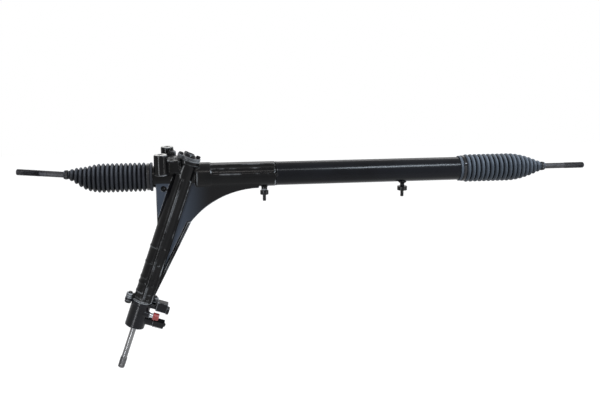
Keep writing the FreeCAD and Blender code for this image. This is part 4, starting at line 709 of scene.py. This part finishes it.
def hex_bolt(name, ring, degrees, face, head_way, head, high, shank_rad, shank_len):
    """A bolt on a ring round the tower's axis, whose head, of radius head over its corners, sits on a
    face: head_way is 1 when the head points down the tower."""
    side = ring * math.cos(math.radians(degrees))
    front = -ring * math.sin(math.radians(degrees))
    flat = head * math.cos(math.pi / 6)
    top = face + head_way * high
    line = [(face - head_way * shank_len, 0), (face - head_way * shank_len, shank_rad), (face, shank_rad),
            (face, head), (top - head_way * 0.8, head), (top, flat - 0.2), (top, 0)]
    where = (np.array(down_tower(side, front, 0)), TOWER[1])
    low, high_end = sorted((face, top))
    return turned(name, eased(line, 0.25), where, ripple=six_sided(low, high_end, flat))


for number, degrees in enumerate((20, 110, 200, 290)):
    bolt = hex_bolt("cover_bolt_%d" % number, 21.2, degrees, COVER_FACE, head_way=-1, head=4.9, high=4.5,
                    shank_rad=2.5, shank_len=13)
    settle(bolt, bolt_steel, "housing", "tower_cover_bolts", slot="dark_steel")
for number, degrees in enumerate((180, 30)):
    bolt = hex_bolt("valve_bolt_%d" % number, 31, degrees, FLANGE_FACE, head_way=1, head=7.5, high=5.5,
                    shank_rad=4.0, shank_len=21.8)
    settle(bolt, bolt_steel, "housing", "valve_housing_bolts", slot="dark_steel")

# %% [markdown]
# ## Tie rods
# Each rod is a ball, a neck, a plain shank with two wrench flats and a rolled thread. The thread is a
# true helix: the radius falls by the thread's depth times a triangle wave of x / pitch - v / 2 pi.

# %% Tie rods
BALL_RAD = 13.0
ROD_NECK_RAD = 6.0
SHANK_RAD = 6.5
THREAD_RAD = 7.0
THREAD_DEEP = 0.85
THREAD = (168.0, 216.0)
PITCH = 1.5
FLATS = (152.0, 167.0)
FLAT_AT = 5.5
angles = np.linspace(math.pi, math.asin(ROD_NECK_RAD / BALL_RAD), 28)
ball = np.stack([BALL_RAD * np.cos(angles), np.abs(BALL_RAD * np.sin(angles))], axis=-1)
ball[0] = (-BALL_RAD, 0.0)
shank = [(21.0, ROD_NECK_RAD), (25.0, SHANK_RAD), (FLATS[0], SHANK_RAD), (FLATS[0] + 0.3, SHANK_RAD),
         (FLATS[1] - 0.3, SHANK_RAD), (FLATS[1], SHANK_RAD), (THREAD[0] - 0.6, SHANK_RAD)]
threaded = finer(np.array([(THREAD[0], THREAD_RAD), (THREAD[1] - 2.0, THREAD_RAD), (THREAD[1], 5.4)]),
                 PITCH / 7)
rod_outline = np.concatenate([ball, shank, threaded, [(THREAD[1], 0.0)]])


def rod_surface(along, angle, radius):
    """Cuts the two flats, min(r, FLAT_AT / |cos v|), and the helical thread."""
    flat = (along > FLATS[0] + 0.1) & (along < FLATS[1] - 0.1)
    level = FLAT_AT / np.maximum(np.abs(np.cos(angle)), 0.2)
    radius = np.where(flat, np.minimum(radius, level), radius)
    turns = along / PITCH - angle / (2 * math.pi)
    wave = np.abs(2 * (turns % 1.0) - 1)
    return np.where(along > THREAD[0] + 0.2, radius - THREAD_DEEP * wave, radius)


rod_steel = plain("phosphated rod steel", (0.022, 0.022, 0.025), (0.050, 0.050, 0.053),
                  rough=(0.40, 0.55), metal=0.9, scales=(1300.0, 24.0, 300.0))
for side, where in (("left", LEFT_ROD), ("right", RIGHT_ROD)):
    settle(turned(side + "_rod", rod_outline, where, ripple=rod_surface), rod_steel, side + "_rod",
           side + "_tie_rod", slot="steel")

# %% [markdown]
# ## Clamps
# Each boot has a wide band clamp on its cuff and a narrow one on its neck. Both are bands whose ends
# are joined by a pinched ear, which is one smooth bump in the outer radius.

# %% Boot clamps
def eared(outer, high, wide, at):
    """A ripple that lifts the outer face by high * exp(-(d / wide)^4), d being the arc from the ear."""
    def ripple(along, angle, radius):
        arc = outer * np.abs((angle - at + math.pi) % (2 * math.pi) - math.pi)
        return np.where(radius > outer - 0.5, radius + high * np.exp(-(arc / wide) ** 4), radius)
    return ripple


BAND = (28.85, 30.05)
NECK_BAND = (9.1, 10.3)
for side, low, high in (("left", -38.5, -32.5), ("right", 688.5, 694.5)):
    band = eased([(low, BAND[0]), (low, BAND[1]), (high, BAND[1]), (high, BAND[0])], 0.35)
    ear = eared(BAND[1], 2.2, 3.6, math.radians(150))
    settle(turned(side + "_band", band, RACK, ripple=ear, segments=256), clamp_steel, "housing",
           side + "_boot_clamp", slot="dark_steel")
for side, where in (("left", LEFT_ROD), ("right", RIGHT_ROD)):
    band = eased([(108, NECK_BAND[0]), (108, NECK_BAND[1]), (113, NECK_BAND[1]), (113, NECK_BAND[0])], 0.3)
    ear = eared(NECK_BAND[1], 1.8, 2.4, math.radians(200))
    settle(turned(side + "_neck_band", band, where, ripple=ear, segments=192), zinc_clamp,
           side + "_swing", side + "_boot_small_clamp", slot="zinc")

# %% [markdown]
# ## Ports and their plugs
# Two cylinder ports hang under the rack and three line ports stand out of the valve housing. All of
# them are closed for transport: plastic plugs with a round collar and a stem, a hexagon cap, and a
# red cap on the short plated pipe. The right cylinder port is a boss welded to the tube, and the
# weld's bead is a wavy ring: its radius goes up and down with cos(18 v).

# %% Cylinder ports
LEFT_PORT = place((223.4, 0, RACK_Z), (0, 0, -1))
RIGHT_PORT = place((548.0, 0, RACK_Z), (0, 0, -1))
BEAD_ENDS = 30.4
BEAD_WAVE = 0.35


def weld_bead(along, angle, radius):
    """Radius + BEAD_WAVE * cos(18 v) near the bead."""
    near = (along < BEAD_ENDS) & (radius > 7.0)
    return np.where(near, radius + BEAD_WAVE * np.cos(18 * angle), radius)


boss = [(24.6, 3.5), (24.6, 9.0), (27.6, 9.4), (29.4, 8.4), (BEAD_ENDS, 6.6), (31.0, 5.3), (33.0, 5.0),
        (38.2, 5.0), (38.2, 3.5)]
settle(turned("welded_boss", eased(boss, 0.7), RIGHT_PORT, ripple=weld_bead, segments=144), tube_paint,
       "housing", "right_port_boss", slot="black_paint")
for side, where, collar in (("left", LEFT_PORT, 9.6), ("right", RIGHT_PORT, 11.6)):
    line = [(30.2, 0), (30.2, 3.45), (38.2, 3.45), (38.2, collar), (47.8, collar), (47.8, 3.8),
            (62.8, 3.8), (62.8, 0)]
    settle(turned(side + "_port_stopper", eased(line, 0.9), where), plug_plastic, "housing",
           side + "_port_plug", slot="black_plastic")

# %% Line ports
UPPER_LINE = place(down_tower(0, 7, 306), ACROSS)
LOWER_LINE = place(down_tower(0, 3, 343), ACROSS)
PIPE_LINE = place(down_tower(0, 14, 325), ACROSS)
HEX_RAD = 12.0
HEX = (38.0, 63.0)
upper = [(48, 0), (48, 3.95), (58, 3.95), (58, 10), (64, 9), (64, 0)]
settle(turned("upper_stopper", eased(upper, 0.8), UPPER_LINE), plug_plastic, "housing", "upper_port_plug",
       slot="black_plastic")
lower = [(28, 0), (28, 3.95), (HEX[0], 3.95), (HEX[0], HEX_RAD), (HEX[1] - 0.8, HEX_RAD),
         (HEX[1], 10.2), (HEX[1], 6), (67, 3), (67, 0)]
hexagon = six_sided(HEX[0], HEX[1], HEX_RAD * math.cos(math.pi / 6))
settle(turned("lower_stopper", eased(lower, 0.5), LOWER_LINE, ripple=hexagon), plug_plastic, "housing",
       "lower_port_plug", slot="black_plastic")
pipe = [(15, 2.75), (44, 2.75), (44, 5.5), (25, 5.5), (25, 3.95), (15, 3.95)]
settle(turned("plated_pipe", eased(pipe, 0.4), PIPE_LINE), zinc_pipe, "housing", "short_pipe", slot="zinc")
cap = [(44.1, 0), (44.1, 5.55), (32, 5.55), (32, 8.5), (45, 8.5), (46, 7.5), (46, 0)]
settle(turned("red_cap", eased(cap, 0.7), PIPE_LINE), red_plastic, "housing", "short_pipe_cap",
       slot="red_plastic")

# %% [markdown]
# ## Input shaft
# The steering column turns this shaft. Its plain part is turned bright, and its tip has 24 straight
# ribs: the radius drops by their depth in every other half of 2 pi / 24. A notch across the tip shows
# the fitter which way round the joint goes on.

# %% Input shaft
SHAFT_RAD = 6.5
SPLINE = (445.0, 468.5)
SPLINE_RAD = 7.8
RIBS = 24
RIB_DEEP = 0.8
SHAFT_TIP = 470.0
NOTCH = 462.0
NOTCH_WIDE = 2.4
NOTCH_FLOOR = 4.0


def shaft_surface(along, angle, radius):
    """Cuts the ribs and, past its place, the notch: where |r cos v| is under half of its width."""
    groove = (angle * RIBS / (2 * math.pi)) % 1.0 > 0.5
    ribbed = (along > SPLINE[0] - 0.5) & groove & (radius > SPLINE_RAD - RIB_DEEP)
    radius = np.where(ribbed, radius - RIB_DEEP, radius)
    notched = (along > NOTCH) & (np.abs(radius * np.cos(angle)) < NOTCH_WIDE / 2)
    return np.where(notched, np.minimum(radius, NOTCH_FLOOR), radius)


shaft = [(331, 0), (331, 8.5), (353, 8.5), (354, SHAFT_RAD), (443, SHAFT_RAD)]
tip = finer(np.array([(SPLINE[0], SPLINE_RAD), (SPLINE[1], SPLINE_RAD), (SHAFT_TIP, 6.3)]), 0.6)
shaft_outline = np.concatenate([shaft, tip, [(SHAFT_TIP, 0.0)]])
shaft_steel = plain("turned shaft steel", (0.11, 0.11, 0.115), (0.17, 0.17, 0.17), rough=(0.15, 0.20),
                    metal=1.0, scales=(150.0, 12.0, 300.0), grain=0.002)
settle(turned("column_shaft", shaft_outline, TOWER, ripple=shaft_surface, segments=192), shaft_steel,
       "input_body", "input_shaft", slot="steel")

# %% Pieces whose exact solid is already right
dress("input_dust_cover", seal_rubber)
dress("yoke_plug", bolt_steel)
dress("yoke_locknut", bolt_steel)

# %% [markdown]
# ## Camera, floor and light
# The camera stands where the photograph was taken from: a little to the right of the tower, above the
# rack and looking down at it. Its lens has the same angle of view. The world is white only to the
# camera and in reflections, so no extra light falls on the object. The floor adds a glow of its own to
# the light that falls on it, which makes it pale and still keeps the object's soft shadow. Long narrow
# lamps give the pale bands that gloss paint shows on a tube: a cylinder sends a ray from the camera on
# at r = 2 (n . v) n - v, and each lamp stands where that ray goes.

# %% Camera
CAMERA_AT = (51.38, -1737.10, 281.50)
CAMERA_TOWARDS = (0.14123, 0.96414, -0.22470)
CAMERA_LENS = 46.8
camera = bpy.data.objects.new("camera", bpy.data.cameras.new("camera"))
scene.collection.objects.link(camera)
camera.location = Vector(CAMERA_AT) * MM
camera.rotation_mode = "QUATERNION"
camera.rotation_quaternion = Vector(CAMERA_TOWARDS).to_track_quat("-Z", "Y")
camera.data.lens = CAMERA_LENS
camera.data.clip_end = 50.0
scene.camera = camera
scene.view_settings.view_transform = "Standard"
print("camera at", [round(c, 3) for c in camera.location])


# %% Floor and world
def seen_directly(tree):
    """1 for camera rays, reflections and rays through glass, and 0 for all others."""
    path = add_node(tree, "ShaderNodeLightPath")
    seen = sums(tree, "MAXIMUM", path.outputs["Is Camera Ray"], path.outputs["Is Glossy Ray"])
    return sums(tree, "MAXIMUM", seen, path.outputs["Is Transmission Ray"])


AMBIENT = 0.24
scene.world = bpy.data.worlds.new("studio")
scene.world.use_nodes = True
sky = scene.world.node_tree
ambient = sky.nodes["Background"]
ambient.inputs["Color"].default_value = colour(0.86, 0.90, 1.0)
ambient.inputs["Strength"].default_value = AMBIENT
white = add_node(sky, "ShaderNodeBackground")
white.inputs["Color"].default_value = colour(1, 1, 1)
either = add_node(sky, "ShaderNodeMixShader")
feed(sky, either.inputs[0], seen_directly(sky))
sky.links.new(ambient.outputs[0], either.inputs[1])
sky.links.new(white.outputs[0], either.inputs[2])
sky.links.new(either.outputs[0], sky.nodes["World Output"].inputs["Surface"])

FLOOR_Z = -1000.0
FLOOR_HALF = 6000.0
FLOOR_GLOW = 0.90
across = np.linspace(-FLOOR_HALF, FLOOR_HALF, 3)
floor_x, floor_y = np.meshgrid(across, across, indexing="ij")
floor_mesh = bpy.data.meshes.new("floor")
floor_points = np.stack([floor_x, floor_y, np.full_like(floor_x, FLOOR_Z)], axis=-1).reshape(-1, 3) * MM
floor_quads = [(0, 3, 4, 1), (1, 4, 5, 2), (3, 6, 7, 4), (4, 7, 8, 5)]
floor_mesh.from_pydata(floor_points.tolist(), [], floor_quads)
floor = bpy.data.objects.new("floor", floor_mesh)
scene.collection.objects.link(floor)
floor_paint = bpy.data.materials.new("pale floor")
floor_paint.use_nodes = True
floor_tree = floor_paint.node_tree
matt = floor_tree.nodes["Principled BSDF"]
matt.inputs["Base Color"].default_value = colour(0.35, 0.35, 0.35)
matt.inputs["Roughness"].default_value = 0.8
glow = add_node(floor_tree, "ShaderNodeEmission")
seen_glow = sums(floor_tree, "MULTIPLY", seen_directly(floor_tree), FLOOR_GLOW)
feed(floor_tree, glow.inputs["Strength"], seen_glow)
both = add_node(floor_tree, "ShaderNodeAddShader")
floor_tree.links.new(matt.outputs[0], both.inputs[0])
floor_tree.links.new(glow.outputs[0], both.inputs[1])
floor_tree.links.new(both.outputs[0], floor_tree.nodes["Material Output"].inputs["Surface"])
floor_mesh.materials.append(floor_paint)


# %% Lamps
def lamp(name, at, towards, size, power, tint=(1, 1, 1)):
    """A soft rectangular lamp at a place in metres, turned towards another."""
    light = bpy.data.lights.new(name, "AREA")
    light.shape = "RECTANGLE"
    light.size, light.size_y = size
    light.energy = power
    light.color = tint
    thing = bpy.data.objects.new(name, light)
    scene.collection.objects.link(thing)
    thing.location = at
    thing.rotation_mode = "QUATERNION"
    thing.rotation_quaternion = (Vector(towards) - Vector(at)).to_track_quat("-Z", "Y")


lamp("high right lamp", (1.32, -1.2, 1.25), (0.6, 0.0, -0.05), (0.75, 0.26), 34.0, (0.80, 0.90, 1.0))
lamp("high middle lamp", (0.74, -1.25, 1.15), (0.4, 0.0, -0.05), (0.42, 0.12), 2.5, (0.9, 0.95, 1.0))
lamp("high left lamp", (0.1, -1.35, 1.25), (0.1, 0.0, -0.05), (0.7, 0.08), 4.5, (1.0, 0.93, 0.9))
lamp("left lamp", (-0.8, -1.35, -0.3), (0.0, 0.0, -0.25), (0.18, 1.1), 15.0, (0.93, 0.96, 1.0))
lamp("right lamp", (2.0, -1.2, -0.25), (0.1, 0.0, -0.25), (0.14, 1.1), 9.0)
lamp("back lamp", (0.5, 1.4, 1.1), (0.3, 0.0, -0.1), (2.2, 0.4), 8.0)
print("lamps:", len(bpy.data.lights))
